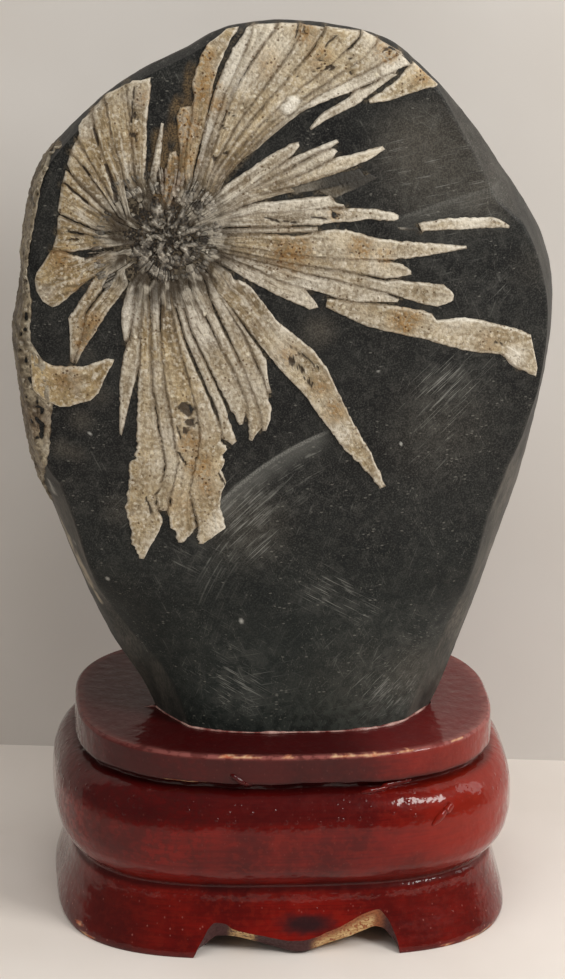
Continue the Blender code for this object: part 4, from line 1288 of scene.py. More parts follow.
def oval(half, squareness, angle):
    """Points round |x/a|^n + |y/b|^n = 1 in each direction."""
    cosine, sine = np.cos(angle), np.sin(angle)
    a, b = half[..., 0], half[..., 1]
    radius = (np.abs(cosine / a) ** squareness + np.abs(sine / b) ** squareness) ** (-1.0 / squareness)
    return beside(radius * cosine, radius * sine)


def squareness_at(height):
    """The plan is squarer at the foot than at the plate."""
    return FOOT_SQUARENESS + (PLATE_SQUARENESS - FOOT_SQUARENESS) * height / STAND_HEIGHT


def outer_face(x, z, squareness):
    """How far the moulding's face stands from the middle: b (1 - |x/a|^n)^(1/n), a and b as at height z."""
    a, b = (PLATE_HALF[k] + flowing(z, MOULD[:, 0], MOULD[:, k + 1]) for k in (0, 1))
    return b * (1.0 - np.abs(x / a) ** squareness) ** (1.0 / squareness)


def stand_part():
    """Rings up the moulding, then rings across the top plate to its middle, all hand-carved a little."""
    angle = np.linspace(-math.pi, math.pi, STAND_COLUMNS, endpoint=False)[None, :]
    run = np.linspace(0.0, MOULD_RUN[-1], 165)
    height, end_step, front_step = (flowing(run, MOULD_RUN, MOULD[:, k]) for k in range(3))
    half = PLATE_HALF + beside(end_step, front_step)
    inner = np.linspace(1.0, 0.0, 26, endpoint=False)[1:]
    half = np.concatenate((half, half[-1] * inner[:, None]))
    height = np.concatenate((height, np.full(len(inner), height[-1])))
    flat = oval(half[:, None, :], squareness_at(height)[:, None], angle)
    grid = beside(*np.moveaxis(flat, -1, 0), height[:, None])
    side = np.concatenate((np.ones(len(run)), np.zeros(len(inner))))[:, None]
    carved = 0.16 * noise(grid, 14.0, 91, 2) + 0.07 * noise(grid, 3.0, 93, 2)
    near_groove = 1.0 - smooth_step(np.abs(grid[..., 2] - 49.0), 1.5, 4.0)
    carved = carved + 0.30 * near_groove * noise(grid, 6.0, 96, 2)
    carved = carved * side * smooth_step(grid[..., 2], 0.0, 1.5)
    grid[..., 2] += 0.55 * near_groove * side * noise(grid * (1.0, 1.0, 0.0), 8.0, 98, 3)
    grid[..., :2] += unit(flat) * carved[..., None]
    dips = 0.10 * noise(grid[..., :2], 12.0, 95, 2) * (1.0 - side)
    grid[..., 2] += dips - 0.05 * (1.0 - side)
    return grid.reshape(-1, 3), tube_faces(len(height), STAND_COLUMNS), {}


stand = make_object("stand_carved", [stand_part()], [finish["cherry_lacquer"]])
print("stand before cutting:", len(stand.data.polygons), "faces")

# %% [markdown]
# ## What is cut out of the stand
#
# Four things are taken out of the block, as on the solid: the hollow under it, the gaps between the feet
# at the front and the back, and the bed that takes the stone. Each cutter carries the finish that it
# leaves behind, because a cut through lacquered wood shows bare wood.

# %% The hollow, the gaps and the bed
# The edge between the feet, from the left foot to the right one: x and z on the outer face, then x and
# z where the slanting band that is cut under it ends.
APRON_EDGE = [
    (-28.6, 0, -27.4, 0), (-28.1, 1.6, -27, 1), (-25.9, 5.6, -24.9, 2.6), (-24.3, 8.5, -23.2, 4.2),
    (-22.4, 10.2, -21.6, 5.1), (-19.6, 9.9, -19, 5.2), (-17.7, 8.4, -16.5, 4.8), (-10.7, 6.8, -10, 3),
    (-6.9, 6.1, -6.5, 2), (-1.3, 5.3, -1.3, 1.2), (2.5, 5.4, 2.5, 1.1), (5.4, 5.9, 5.6, 1.4),
    (11.1, 7.7, 11, 2.6), (15.9, 9.7, 15.5, 4), (20.7, 12, 20, 5.4), (24, 12.6, 23.4, 6.4),
    (26, 11.1, 25.6, 6), (28.3, 6.9, 27.8, 4), (29.7, 2.9, 29.4, 1.6), (30.1, 0, 30.1, 0),
]
TOUCH_GAP, WOOD_WALL, BELOW = 0.3, 11.0, -4.0


def hollow_part():
    """The space under the stand, which narrows at its ceiling."""
    angle = np.linspace(-math.pi, math.pi, 200, endpoint=False)[None, :]
    height, inset = np.array(((BELOW, 0.0), (6.0, 0.0), (12.5, 0.0), (15.5, 7.0))).T
    half = PLATE_HALF + MOULD[0, 1:] - WOOD_WALL - inset[:, None]
    flat = oval(half[:, None, :], FOOT_SQUARENESS, angle)
    grid = beside(*np.moveaxis(flat, -1, 0), height[:, None])
    return grid.reshape(-1, 3), tube_faces(len(height), 200), {}


def gap_part(outward):
    """The gap between two feet: straight through the wall, then a slanting band out to the edge."""
    edge = np.array(APRON_EDGE)
    run = count_up(edge)
    s = np.linspace(0.0, run[-1], 110)
    outer_x, outer_z, inner_x, inner_z = (flowing(s, run, edge[:, k]) for k in range(4))
    waver = 0.15 * noise(beside(s, 0.0), 3.0, 97 + outward, 2)
    outer_z = outer_z + waver * np.minimum(1.0, outer_z / 3.7)
    outer_y = outer_face(outer_x, outer_z, 3.2) + 0.35
    inner_y = np.minimum(46.8 + 2.7 * np.exp(-(((outer_x - 1.5) / 6.0) ** 2)), outer_y - 0.8)
    grid = []
    for depth in (-1.0, 0.0, 0.25, 0.5, 0.75, 1.0, 2.0):
        share = np.clip(depth, 0.0, 1.0)
        y = inner_y + (outer_y - inner_y) * share + 9.0 * min(depth, 0.0) + 6.0 * max(depth - 1.0, 0.0)
        x = inner_x + (outer_x - inner_x) * share
        ring = beside(-outward * x, outward * y, inner_z + (outer_z - inner_z) * share)
        grid.append(np.vstack((ring, [(*ring[k, :2], BELOW) for k in (-1, 0)])))
    return np.vstack(grid), tube_faces(len(grid), len(grid[0])), {}


def bed_cutter():
    """A coarser stone, swollen by the gap between stone and wood."""
    ring = np.concatenate((np.arange(1, 25) / 24, 1 + np.arange(1, 9) / 8, 2 + np.arange(1, 20) / 20))
    thing = make_object("bed", [stone_part(160, ring)], [finish["cherry_lacquer"]])
    mesh = thing.data
    normals = np.empty(len(mesh.vertices) * 3, dtype=np.float32)
    mesh.vertex_normals.foreach_get("vector", normals)
    mesh.vertices.foreach_set("co", ((read_points(mesh) + (CENTRING_MOVE, 0, 0)) * MM
                                     + TOUCH_GAP * MM * normals.reshape(-1, 3)).ravel())
    cut_flat(thing, STONE_BASE - TOUCH_GAP)
    return thing


print("highest place of the edge between the feet:", max(row[1] for row in APRON_EDGE), "mm")

# %% [markdown]
# ## Cutting the stand
#
# The bed is cut with a coarser copy of the stone, swollen by the gap that the lacquer needs. The cuts are
# booleans, worked out once, and then the modifiers and the cutters go. Kept live, they would be worked out
# again for every picture.

# %% The cuts
cutters = [
    make_object("hollow", [hollow_part()], [finish["old_wood"]]),
    make_object("front_gap", [gap_part(-1)], [finish["bare_wood"]]),
    make_object("back_gap", [gap_part(1)], [finish["bare_wood"]]),
    bed_cutter(),
]
for cutter in cutters:
    modifier = stand.modifiers.new(cutter.name, "BOOLEAN")
    modifier.operation, modifier.solver, modifier.object = "DIFFERENCE", "EXACT", cutter
    modifier.material_mode = "TRANSFER"
carved = bpy.data.meshes.new_from_object(stand.evaluated_get(bpy.context.evaluated_depsgraph_get()))
stand.modifiers.clear()
stand.data = carved
for cutter in cutters:
    bpy.data.objects.remove(cutter, do_unlink=True)
print("stand after cutting:", len(carved.polygons), "faces,", [m.name for m in carved.materials])

# %% [markdown]
# ## Wear and painted light on the stand
#
# The grooves are darkened as painted shade, and the lacquer chips off sharp edges, where pale wood shows. A
# dark patch on the front is a painted reflection, and the rim of the plate gets a painted highlight. All are
# worked out from where a point is, so they can be written after the cutting.

# %% Marks on the lacquer
# Chips: x, z, half-length, half-height.
CHIPS = [
    (-19.6, 58.5, 3.4, 0.25), (-13.6, 58.5, 3, 0.2), (13.5, 58.5, 4, 0.22), (22, 58.4, 6, 0.32),
    (31, 58.5, 3.4, 0.22), (46.5, 58.4, 2.2, 0.25), (-2, 58.5, 1.5, 0.2), (-57.5, 0.7, 2.2, 0.45),
    (-60, 2.6, 0.8, 0.5), (52, 0.5, 3.4, 0.3), (57.5, 0.8, 2, 0.4), (-31, 50.5, 6.5, 0.35),
    (44, 0.6, 3, 0.25),
]


def stand_marks(points):
    """How deep in a groove a point is, which gets painted shade, and whether its lacquer has chipped away."""
    x, y, z = points.T
    # Painted shade: the groove under the plate, and the waist groove more faintly, are marked to be darkened.
    groove = 1.0 - smooth_step(np.abs(z - 49.2), 0.8, 2.6)
    waist = 1.0 - smooth_step(np.abs(z - 19.2), 0.5, 2.4)
    chips = np.zeros(len(points))
    rough = 1.0 + 0.5 * noise(points, 1.3, 99, 2)
    for cx, cz, half_x, half_z in CHIPS:
        r = np.hypot((x - cx) / half_x, (z - cz) / half_z)
        chips = np.maximum(chips, (1.0 - smooth_step(r * rough, 0.75, 1.05)) * (y < 0.0))
    edge = np.array(APRON_EDGE)
    outer_z, inner_z = (np.interp(x, edge[:, k], edge[:, k + 1]) for k in (0, 2))
    share = np.clip((z - inner_z) / np.maximum(outer_z - inner_z, 0.5), 0.0, 1.0)
    left_bare = smooth_step(x, -19.0, -17.0) * (1.0 - smooth_step(x, -12.0, -10.0)) * (share < 0.9)
    right_bare = smooth_step(x, 4.0, 8.0) * (1.0 - smooth_step(x, 22.0, 24.0))
    right_bare = right_bare * (1.0 - smooth_step(share, 0.45, 0.7))
    thin = smooth_step(x, 4.0, 8.0) * (1.0 - smooth_step(x, 24.0, 27.0))
    n = PLATE_SQUARENESS
    plan = (np.abs(x / PLATE_HALF[0]) ** n + np.abs(y / PLATE_HALF[1]) ** n) ** (1.0 / n)
    chips = chips * smooth_step(plan, 0.955, 0.975)
    # Painted reflection: a dark oval low on the front, above the gap between the feet.
    patch = np.hypot((x - 3.4) / 9.8, (z - 9.0) / 3.5) * rough**0.5
    return {
        "groove": np.maximum(groove, 0.8 * waist),
        "chip": chips,
        "bare": np.maximum(left_bare, right_bare),
        "thin": thin,
        "painted_dark_reflection": (1.0 - smooth_step(patch, 0.3, 1.15)) * (y < 0.0),
        # Painted highlight: a pale line along the rim of the plate.
        "painted_rim_highlight": smooth_step(plan, 0.945, 0.965) * (1.0 - smooth_step(np.abs(z - 58.35), 0.25, 0.75)),
    }


write_marks(stand.data, stand_marks(read_points(stand.data)))
stand.data.polygons.foreach_set("use_smooth", np.ones(len(stand.data.polygons), dtype=bool))
stand.data.set_sharp_from_angle(angle=math.radians(38.0))
belongs(stand, "stand")

# %% [markdown]
# ## The bead of lacquer round the stone's foot
#
# The stone sits in its bed in a little pool of lacquer, which dried as a thin bead along the front, painted
# pale as a highlight.
# It is a tube that follows the line where the stone meets the plate, thicker in some places than others. It
# could be left to a bump, but a bead catches the light along its whole length.

# %% The bead


def round_tube(line, out, side, girth, columns):
    """Rings of points round a line of centres: centre + girth (out cos turn + side sin turn)."""
    turn = np.arange(columns)[:, None] * 2.0 * math.pi / columns
    ring = out[:, None, :] * np.cos(turn) + side[:, None, :] * np.sin(turn)
    grid = line[:, None, :] + ring * girth[:, None, None]
    return grid.reshape(-1, 3), tube_faces(len(line), columns), {}


def bead_part():
    """A tube of changing thickness along the front's section just above the plate."""
    x = np.linspace(-40.6, 41.6, 360)
    line, out = on_front(x, 58.85 + 0.0 * x)
    out = unit(out * (1.0, 1.0, 0.0))
    at = beside(x, 0.0)
    girth = np.clip(0.36 + 0.22 * noise(at, 6.0, 101, 2) + 0.12 * noise(at, 1.2, 103), 0.08, None)
    girth = girth * smooth_step(42.0 - np.abs(x), 0.0, 4.0)
    return round_tube(line + 0.15 * out, out, np.array(((0.0, 0.0, 1.0),)), girth, 10)


belongs(make_object("lacquer_bead", [bead_part()], [finish["lacquer_lip"]]), "stand")

# %% [markdown]
# ## Runs of lacquer
#
# The lacquer was put on thickly and ran before it was dry: over the belly on the right, and along the
# groove. Each run is a long drop that lies on the moulding, and the table has its two ends and half-width.

# %% Runs
RUNS = [
    (38.4, 37.8, 43.4, 42, 1), (42.2, 40.8, 44.4, 42.6, 1.5), (-18.6, 53.4, -14.6, 50.6, 0.8),
    (-15, 50.8, -12, 50, 0.55), (18, 47.4, 26, 47.9, 0.9), (24, 48, 33, 48.8, 0.8),
]


def run_part(x0, z0, x1, z1, half):
    """A long drop lying on the front of the moulding: its girth is half * (1 - s^4)^0.5 along its length."""
    s = np.linspace(-1.0, 1.0, 40)
    x, z = (x0 + x1 + (x1 - x0) * s) / 2.0, (z0 + z1 + (z1 - z0) * s) / 2.0
    line = beside(x, -outer_face(x, z, squareness_at(z)), z)
    along = unit(np.gradient(line, axis=0))
    out = np.cross(along, (0.0, 0.0, 1.0))
    out *= -np.sign(out[:, 1:2]) / np.linalg.norm(out, axis=1, keepdims=True)
    girth = half * np.sqrt(np.clip(1.0 - s**4, 0.01, None)) * (1.0 + 0.3 * noise(line, 1.5, 105))
    return round_tube(line, 0.8 * out, np.cross(out, along), girth, 12)


drips = [run_part(*row) for row in RUNS]
belongs(make_object("lacquer_runs", drips, [finish["cherry_lacquer"]]), "stand")
print("runs of lacquer:", len(drips))

# %% [markdown]
# ## Wiring finishes
#
# The finishes are node trees. They could be joined by hand in the shader editor, but a few small
# functions do it in one line each. Colours are written as they look on a screen, 0 to 255, and turned
# into the linear light that a shader works in. A finish is then mostly a list of layers, and each layer
# is a mask, how strongly it covers, and a colour.

# %% Helpers for nodes


def light(red, green, blue):
    """A screen colour as linear light: c/12.92 in the darks, else ((c + 0.055)/1.055)^2.4."""
    c = np.array((red, green, blue)) / 255.0
    linear = np.where(c <= 0.04045, c / 12.92, ((c + 0.055) / 1.055) ** 2.4)
    return (*linear.tolist(), 1.0)


def fill(tree, node, inputs):
    """Give each named socket of a node a constant or another node's output."""
    for key, value in inputs.items():
        if isinstance(value, bpy.types.NodeSocket):
            tree.links.new(value, node.inputs[key])
        else:
            node.inputs[key].default_value = value
    return node


def add(tree, kind, inputs=None, **settings):
    """Add one node, set it up, and fill its sockets."""
    node = tree.nodes.new(kind)
    for key, value in settings.items():
        setattr(node, key, value)
    return fill(tree, node, inputs or {})


def maths(tree, operation, a, b=0.0, clamp=False):
    """The result of a sum on two values."""
    return add(tree, "ShaderNodeMath", {0: a, 1: b}, operation=operation, use_clamp=clamp).outputs[0]


def times(tree, first, *others):
    """Values multiplied together."""
    for other in others:
        first = maths(tree, "MULTIPLY", first, other)
    return first


def most(tree, first, *others):
    """The largest of some values."""
    for other in others:
        first = maths(tree, "MAXIMUM", first, other)
    return first


def ease(tree, value, low, high, start=0.0, end=1.0):
    """A smooth change from start to end while the value goes from low to high."""
    sockets = {"Value": value, "From Min": low, "From Max": high, "To Min": start, "To Max": end}
    return add(tree, "ShaderNodeMapRange", sockets, interpolation_type="SMOOTHSTEP").outputs["Result"]


def mix(tree, share, first, second, kind="MIX"):
    """One colour over another, by a share."""
    sockets = {0: share, 6: first, 7: second}
    return add(tree, "ShaderNodeMix", sockets, data_type="RGBA", blend_type=kind).outputs[2]


def layers(tree, colour, rows):
    """Lay colours over a first one: each row is a mask, the most that it covers, and the colour."""
    for mask, strength, over in rows:
        colour = mix(tree, times(tree, mask, strength), colour, light(*over))
    return colour


print("ground grey as light:", np.round(light(44, 44, 41), 4))

# %% [markdown]
# ## Textures, groups and shaders
#
# What a finish reads is where a point is on its piece, or a mark that was written on the mesh. Both stay
# with the piece when it moves. The rest of the helpers make a node group with named sockets, use one, and
# open a finish with its one shader.

# %% Helpers for textures, groups and finishes


def stretch(tree, vector, by):
    """A vector with each of its directions multiplied."""
    return add(tree, "ShaderNodeVectorMath", {0: vector, 1: by}, operation="MULTIPLY").outputs[0]


def clouds(tree, vector, scale, detail=3.0):
    """Cloudy noise from about 0.3 to 0.7."""
    return add(tree, "ShaderNodeTexNoise", {"Vector": vector, "Scale": scale, "Detail": detail}).outputs[0]


def read(tree, name, vector=False):
    """An attribute that was written on the mesh."""
    return add(tree, "ShaderNodeAttribute", attribute_name=name).outputs["Vector" if vector else "Fac"]


def position(tree):
    """Where the point is on the object, in millimetres."""
    return stretch(tree, add(tree, "ShaderNodeTexCoord").outputs["Object"], (1000.0, 1000.0, 1000.0))


def new_group(name, outputs, **inputs):
    """A node group with named outputs and inputs; every group of this lesson starts at a Position."""
    group = bpy.data.node_groups.new(name, "ShaderNodeTree")
    group.interface.new_socket("Position", in_out="INPUT", socket_type="NodeSocketVector")
    for socket, value in inputs.items():
        made = group.interface.new_socket(socket, in_out="INPUT", socket_type="NodeSocketFloat")
        made.default_value = value
    for socket in outputs:
        group.interface.new_socket(socket, in_out="OUTPUT", socket_type="NodeSocketFloat")
    return group, group.nodes.new("NodeGroupInput").outputs, group.nodes.new("NodeGroupOutput")


def use(tree, name, place, **inputs):
    """The outputs of a node that runs one of the groups at a place."""
    sockets = {"Position": place} | inputs
    return add(tree, "ShaderNodeGroup", sockets, node_tree=bpy.data.node_groups[name]).outputs


def open_finish(name):
    """Clear a finish, and give it one shader and one output."""
    material = finish[name]
    material.use_nodes = True
    tree = material.node_tree
    tree.nodes.clear()
    shader = tree.nodes.new("ShaderNodeBsdfPrincipled")
    add(tree, "ShaderNodeOutputMaterial", {"Surface": shader.outputs[0]})
    return tree, shader


def bump(tree, height, strength, distance):
    """A surface normal tilted by a height in millimetres."""
    sockets = {"Height": height, "Strength": strength, "Distance": distance * MM}
    return add(tree, "ShaderNodeBump", sockets).outputs[0]


print("finishes waiting:", ", ".join(finish))

# %% [markdown]
# ## Effects that several finishes share
#
# Four effects come back again and again: single pale specks, the fine parallel lines that a grinding disc
# leaves, cloudy patches, and a floor of tiny grains of different greys. Each is a node group, so that a
# finish says only how big and how strong it is.

# %% Specks and grinding lines
group, given, made = new_group("single_specks", ["Speck"], Size=1.0, Share=0.1)
grain = add(group, "ShaderNodeTexVoronoi", {
    "Vector": given["Position"], "Scale": maths(group, "DIVIDE", 1.0, given["Size"]),
})
draw = add(group, "ShaderNodeSeparateColor", {0: grain.outputs["Color"]}).outputs[0]
chosen = maths(group, "LESS_THAN", draw, given["Share"])
round_speck = ease(group, grain.outputs["Distance"], 0.22, 0.42, 1.0, 0.0)
fill(group, made, {"Speck": times(group, chosen, round_speck)})

group, given, made = new_group("grinding_lines", ["Line"], Turn=0.0, Spacing=0.4, Share=0.5)
sockets = {"Vector": given["Position"], "Angle": given["Turn"]}
turned = add(group, "ShaderNodeVectorRotate", sockets, rotation_type="Y_AXIS").outputs[0]
scale = maths(group, "DIVIDE", 1.0, given["Spacing"])
fine = clouds(group, stretch(group, turned, (0.032, 0.3, 1.0)), scale)
level = maths(group, "SUBTRACT", 0.74, times(group, given["Share"], 0.22))
above_level = maths(group, "SUBTRACT", fine, level)
fill(group, made, {"Line": maths(group, "MULTIPLY", above_level, 9.0, clamp=True)})
print("groups:", [made_group.name for made_group in bpy.data.node_groups])

# %% [markdown]
# ## Clouds and grains
#
# Cloudy patches give the slow changes of tone that keep a surface from looking painted, in two sizes at
# once. Mixed grains are Voronoi cells with wavy borders, each with a grey of its own and a low dome.

# %% Cloudy patches and mixed grains
group, given, made = new_group("cloudy_patches", ["Broad", "Fine"], Size=5.0)
scale = maths(group, "DIVIDE", 1.0, given["Size"])
for output, finer in (("Broad", 1.0), ("Fine", 7.0)):
    cloud = clouds(group, given["Position"], times(group, scale, finer))
    fill(group, made, {output: ease(group, cloud, 0.3, 0.7)})

group, given, made = new_group("mixed_grains", ["Grey", "Dome"], Size=0.5)
scale = maths(group, "DIVIDE", 1.0, given["Size"])
shake = add(group, "ShaderNodeTexNoise", {"Vector": given["Position"], "Scale": scale}).outputs["Color"]
sockets = {0: given["Position"], 1: stretch(group, shake, (0.5, 0.5, 0.5))}
wobble = add(group, "ShaderNodeVectorMath", sockets, operation="ADD").outputs[0]
grain = add(group, "ShaderNodeTexVoronoi", {"Vector": wobble, "Scale": scale})
draw = add(group, "ShaderNodeSeparateColor", {0: grain.outputs["Color"]}).outputs[1]
fill(group, made, {"Grey": draw, "Dome": ease(group, grain.outputs["Distance"], 0.0, 0.7, 1.0, 0.0)})


def patches(tree, place, size):
    """The broad and fine clouds of one size."""
    return use(tree, "cloudy_patches", place, Size=size)


print("groups:", [made_group.name for made_group in bpy.data.node_groups])

# %% [markdown]
# ## Where the stone is scratched
#
# The slab was rubbed down by hand with a disc, and the scratches lie in sheaves: some rise to the right, some
# fall and some are level. Where each kind is dense could be painted on an image. Round swells in a table do
# the same and can be read: each row is x, z, radius and strength. Painted glints, small highlights put into
# the colour, and the strip of natural skin low on the left are short lines with a half-width.

# %% Where the face is scratched and smeared
RISING = [
    (-17, 127, 15, 0.9), (-12, 117, 12, 0.9), (-6, 133, 14, 0.5), (37, 160, 15, 0.9), (43, 166, 14, 0.6),
    (37, 144, 12, 0.6), (-47, 126, 9, 0.6), (20, 78, 22, 0.5), (52, 190, 10, 0.4), (30, 68, 16, 0.7),
]
FALLING = [
    (8, 103, 12, 1), (18, 97, 9, 0.7), (36, 88, 16, 0.6), (-30, 113, 13, 0.6), (32, 236, 10, 0.5),
    (-20, 80, 24, 0.4), (-16, 72, 12, 0.6),
]
LEVEL = [
    (36, 222, 24, 0.55), (52, 212, 14, 0.4), (20, 228, 16, 0.3), (30, 70, 22, 0.5), (50, 178, 12, 0.5),
    (38, 200, 12, 0.4), (-12, 74, 18, 0.5),
]
SMEARS = [
    (-49.5, 126.5, 7, 0.5), (-65.5, 144.3, 4.5, 0.9), (-61.5, 143, 4, 0.7), (-60.2, 152.8, 5, 0.8),
    (-55.2, 160.2, 5, 0.6), (-59, 171.8, 4, 0.5), (3.5, 179, 7, 1), (-19, 127.5, 4, 0.4),
    (36, 224, 26, 0.9), (26, 232, 14, 0.5), (50, 214, 12, 0.5), (-14, 122, 17, 0.6), (38, 150, 22, 0.4),
    (62, 196, 10, 0.3), (20, 70, 30, 0.35), (36, 74, 14, 0.6),
]
# Painted highlights: small pale spots put into the stone's colour, each a short line with a half-width.
PAINTED_GLINTS = [
    (-68.4, 132.2, -66.9, 128.4, 0.6), (-61.3, 114.3, -61.1, 113.9, 0.38), (-52.3, 105, -52.1, 105, 0.38),
    (-63, 145.4, -62.9, 145.4, 0.34), (-57.4, 149.2, -57.3, 149.6, 0.34), (20.2, 167.2, 20.4, 167.4, 0.3),
    (20.9, 168.6, 21, 168.7, 0.22), (10.1, 107.9, 10.2, 107.9, 0.34), (34.1, 108.8, 34.1, 109, 0.3),
    (-15.8, 93.5, -15, 94, 0.3), (41.6, 86.2, 41.7, 86.5, 0.26), (0.6, 100, 1.4, 100.6, 0.22),
    (27.6, 146.2, 27.8, 146.3, 0.38), (-17, 83, -14, 83.3, 0.26), (6, 122.4, 6.2, 122.4, 0.3),
]
SKIN_LINES = [
    (-66.2, 120, -63.2, 114, 0.5), (-63.2, 114, -59.2, 105.6, 1.2), (-59.2, 105.6, -56.2, 99, 1.3),
    (-56.2, 99, -53.6, 94, 0.5),
]
patchy = smooth_step(noise(beside(x, y, z), 2.2, 61, 2), -0.35, 0.15)
write_marks(stone.data, {
    name: np.clip(bumps(x, z, table), 0.0, 1.0) * front
    for name, table in (("rising", RISING), ("falling", FALLING), ("level", LEVEL), ("smear", SMEARS))
} | {
    "painted_glint": near_lines(x + 0.3 * patchy, z, PAINTED_GLINTS) * (y < -14.0),
    "strip": near_lines(x, z, SKIN_LINES) * patchy * front,
})
print("points where scratches rise:", int((bumps(x, z, RISING) > 0.3).sum()))

# %% [markdown]
# ## The stone's own colour
#
# The slab is charcoal limestone, rubbed but not polished. One grey would look like plastic, so the grey
# changes in clouds and turns a little greener towards the foot, where it has also gathered pale dust.

# %% Greys of the stone
tree, shader = open_finish("ground_stone")
place = position(tree)
across, deep, high = add(tree, "ShaderNodeSeparateXYZ", {0: place}).outputs
cloud, mottle = patches(tree, place, 15.0), patches(tree, place, 3.0)
foot = times(tree, ease(tree, high, 80.0, 60.0), ease(tree, across, -30.0, 40.0, 0.2, 0.9))
colour = layers(tree, mix(tree, cloud["Broad"], light(19, 20, 21), light(35, 36, 35)), [
    (ease(tree, mottle["Broad"], 0.4, 1.0), 0.40, (60, 60, 57)),
    (ease(tree, mottle["Fine"], 0.4, 1.0), 0.42, (76, 75, 71)),
    (ease(tree, mottle["Fine"], 0.5, 0.0), 0.40, (18, 18, 17)),
    (ease(tree, high, 140.0, 70.0), 0.60, (27, 35, 33)),
    (times(tree, foot, ease(tree, cloud["Fine"], 0.2, 0.9, 0.1, 0.5)), 1.0, (86, 92, 86)),
])
print("ground stone, greys:", len(tree.nodes), "nodes")

# %% [markdown]
# ## The lines of the grinding
#
# Three sheaves of lines follow the marks that were written above, and two more are faint and everywhere.
# A pale haze lies where the sheaves are dense, because many scratches that are too fine to see still
# scatter the light.

# %% Sheaves of lines
SHEAVES = (("rising", 0.80, 0.34), ("falling", -0.52, 0.3), ("level", 0.18, 0.36))
lines, dense = 0.0, 0.0
for name, turn, spacing in SHEAVES:
    share = read(tree, name)
    dense = maths(tree, "ADD", dense, share)
    line = use(tree, "grinding_lines", place, Turn=turn, Spacing=spacing,
               Share=maths(tree, "ADD", times(tree, share, 0.55), 0.38))["Line"]
    lines = most(tree, lines, times(tree, line, maths(tree, "ADD", times(tree, share, 0.9), 0.16)))
for turn, spacing in ((1.25, 0.42), (-1.1, 0.6)):
    every = use(tree, "grinding_lines", place, Turn=turn, Spacing=spacing, Share=0.5)["Line"]
    lines = most(tree, lines, times(tree, every, ease(tree, mottle["Broad"], 0.3, 0.9, 0.05, 0.35)))
haze = times(tree, maths(tree, "MINIMUM", dense, 1.0), ease(tree, mottle["Broad"], 0.1, 0.9, 0.15, 1.0))
print("sheaves:", len(SHEAVES))

# %% [markdown]
# ## Two strokes of the disc
#
# The edge of the disc left two long curved strokes. A stroke is a band of one circle: sharp at its outer
# edge, hazy inside it, with fine rings that share its centre. Each row gives the circle's centre in x and
# z, its radius, how far in its rings go, its strength, and the x where it starts and ends.

# %% Curved strokes
STROKES = (
    ((35.9, 78.9), 77.1, 22.0, 0.9, -26.0, 7.0), ((119.8, -74.1), 300.0, 8.0, 0.30, 24.0, 54.0),
)
spot = add(tree, "ShaderNodeCombineXYZ", {0: across, 2: high}).outputs[0]
for (centre_x, centre_z), radius, reach, strength, start, end in STROKES:
    middle = (centre_x + CENTRING_MOVE, 0.0, centre_z)
    away = add(tree, "ShaderNodeVectorMath", {0: spot, 1: middle}, operation="DISTANCE").outputs["Value"]
    within = maths(tree, "SUBTRACT", radius, away)
    sharp = times(tree, ease(tree, within, -0.5, 0.1), ease(tree, within, 0.5, 1.6, 1.0, 0.0),
                  ease(tree, mottle["Fine"], 0.1, 0.8, 0.55, 1.0))
    glow = times(tree, ease(tree, within, -0.2, 0.8), ease(tree, within, 1.0, 7.0, 0.40, 0.0))
    along = add(tree, "ShaderNodeCombineXYZ", {0: away, 1: times(tree, across, 0.06)}).outputs[0]
    rings = times(tree, ease(tree, clouds(tree, along, 1.7), 0.54, 0.64),
                  ease(tree, mottle["Broad"], 0.2, 0.8, 0.2, 1.0),
                  ease(tree, within, -1.0, 0.5), ease(tree, within, 3.0, reach, 0.75, 0.0))
    lines = most(tree, lines, times(
        tree, most(tree, sharp, glow, rings), ease(tree, across, start, start + 6.0),
        ease(tree, across, end, end + 5.0, 1.0, 0.0), ease(tree, deep, -16.0, -20.0), strength,
    ))
print("strokes:", len(STROKES))

# %% [markdown]
# ## Dust, rust and the skin behind
#
# The last layers are dust and painted glints, which are highlights put into the colour, then dirt between the
# blades, rust in the column between the two upper fans, grey wear on the bevels, and a duller, browner
# natural skin behind.
# The back was never worked, so it's rougher than the face.

# %% Dust, rust and skin
thick = ease(tree, patches(tree, place, 8.0)["Broad"], 0.3, 1.0)
wide, tall = (stretch(tree, place, by) for by in ((0.6, 1.0, 1.3), (1.4, 1.0, 0.6)))
specks = use(tree, "single_specks", wide, Size=0.8, Share=times(tree, thick, 0.10))
dust = use(tree, "single_specks", tall, Size=0.5, Share=times(tree, thick, 0.3))
grains = use(tree, "mixed_grains", place, Size=0.5)
rub = patches(tree, stretch(tree, place, (1.0, 1.0, 0.25)), 5.0)
back = read(tree, "back")
dirt = mix(tree, ease(tree, grains["Grey"], 0.1, 0.95), light(38, 32, 25), light(104, 94, 78))
rusty = mix(tree, mottle["Fine"], light(58, 48, 36), light(118, 98, 70))
worn = mix(tree, rub["Broad"], light(66, 64, 60), light(102, 97, 90))
skin = layers(tree, mix(tree, ease(tree, mottle["Broad"], 0.1, 1.0), light(40, 38, 35), light(55, 52, 46)), [
    (ease(tree, mottle["Fine"], 0.4, 1.0), 0.35, (84, 79, 69)),
    (ease(tree, cloud["Broad"], 0.4, 1.0), 0.28, (78, 68, 54)),
    (ease(tree, grains["Grey"], 0.75, 1.0), 0.35, (98, 92, 80)),
    (ease(tree, grains["Grey"], 0.2, 0.0), 0.5, (22, 21, 19)),
])
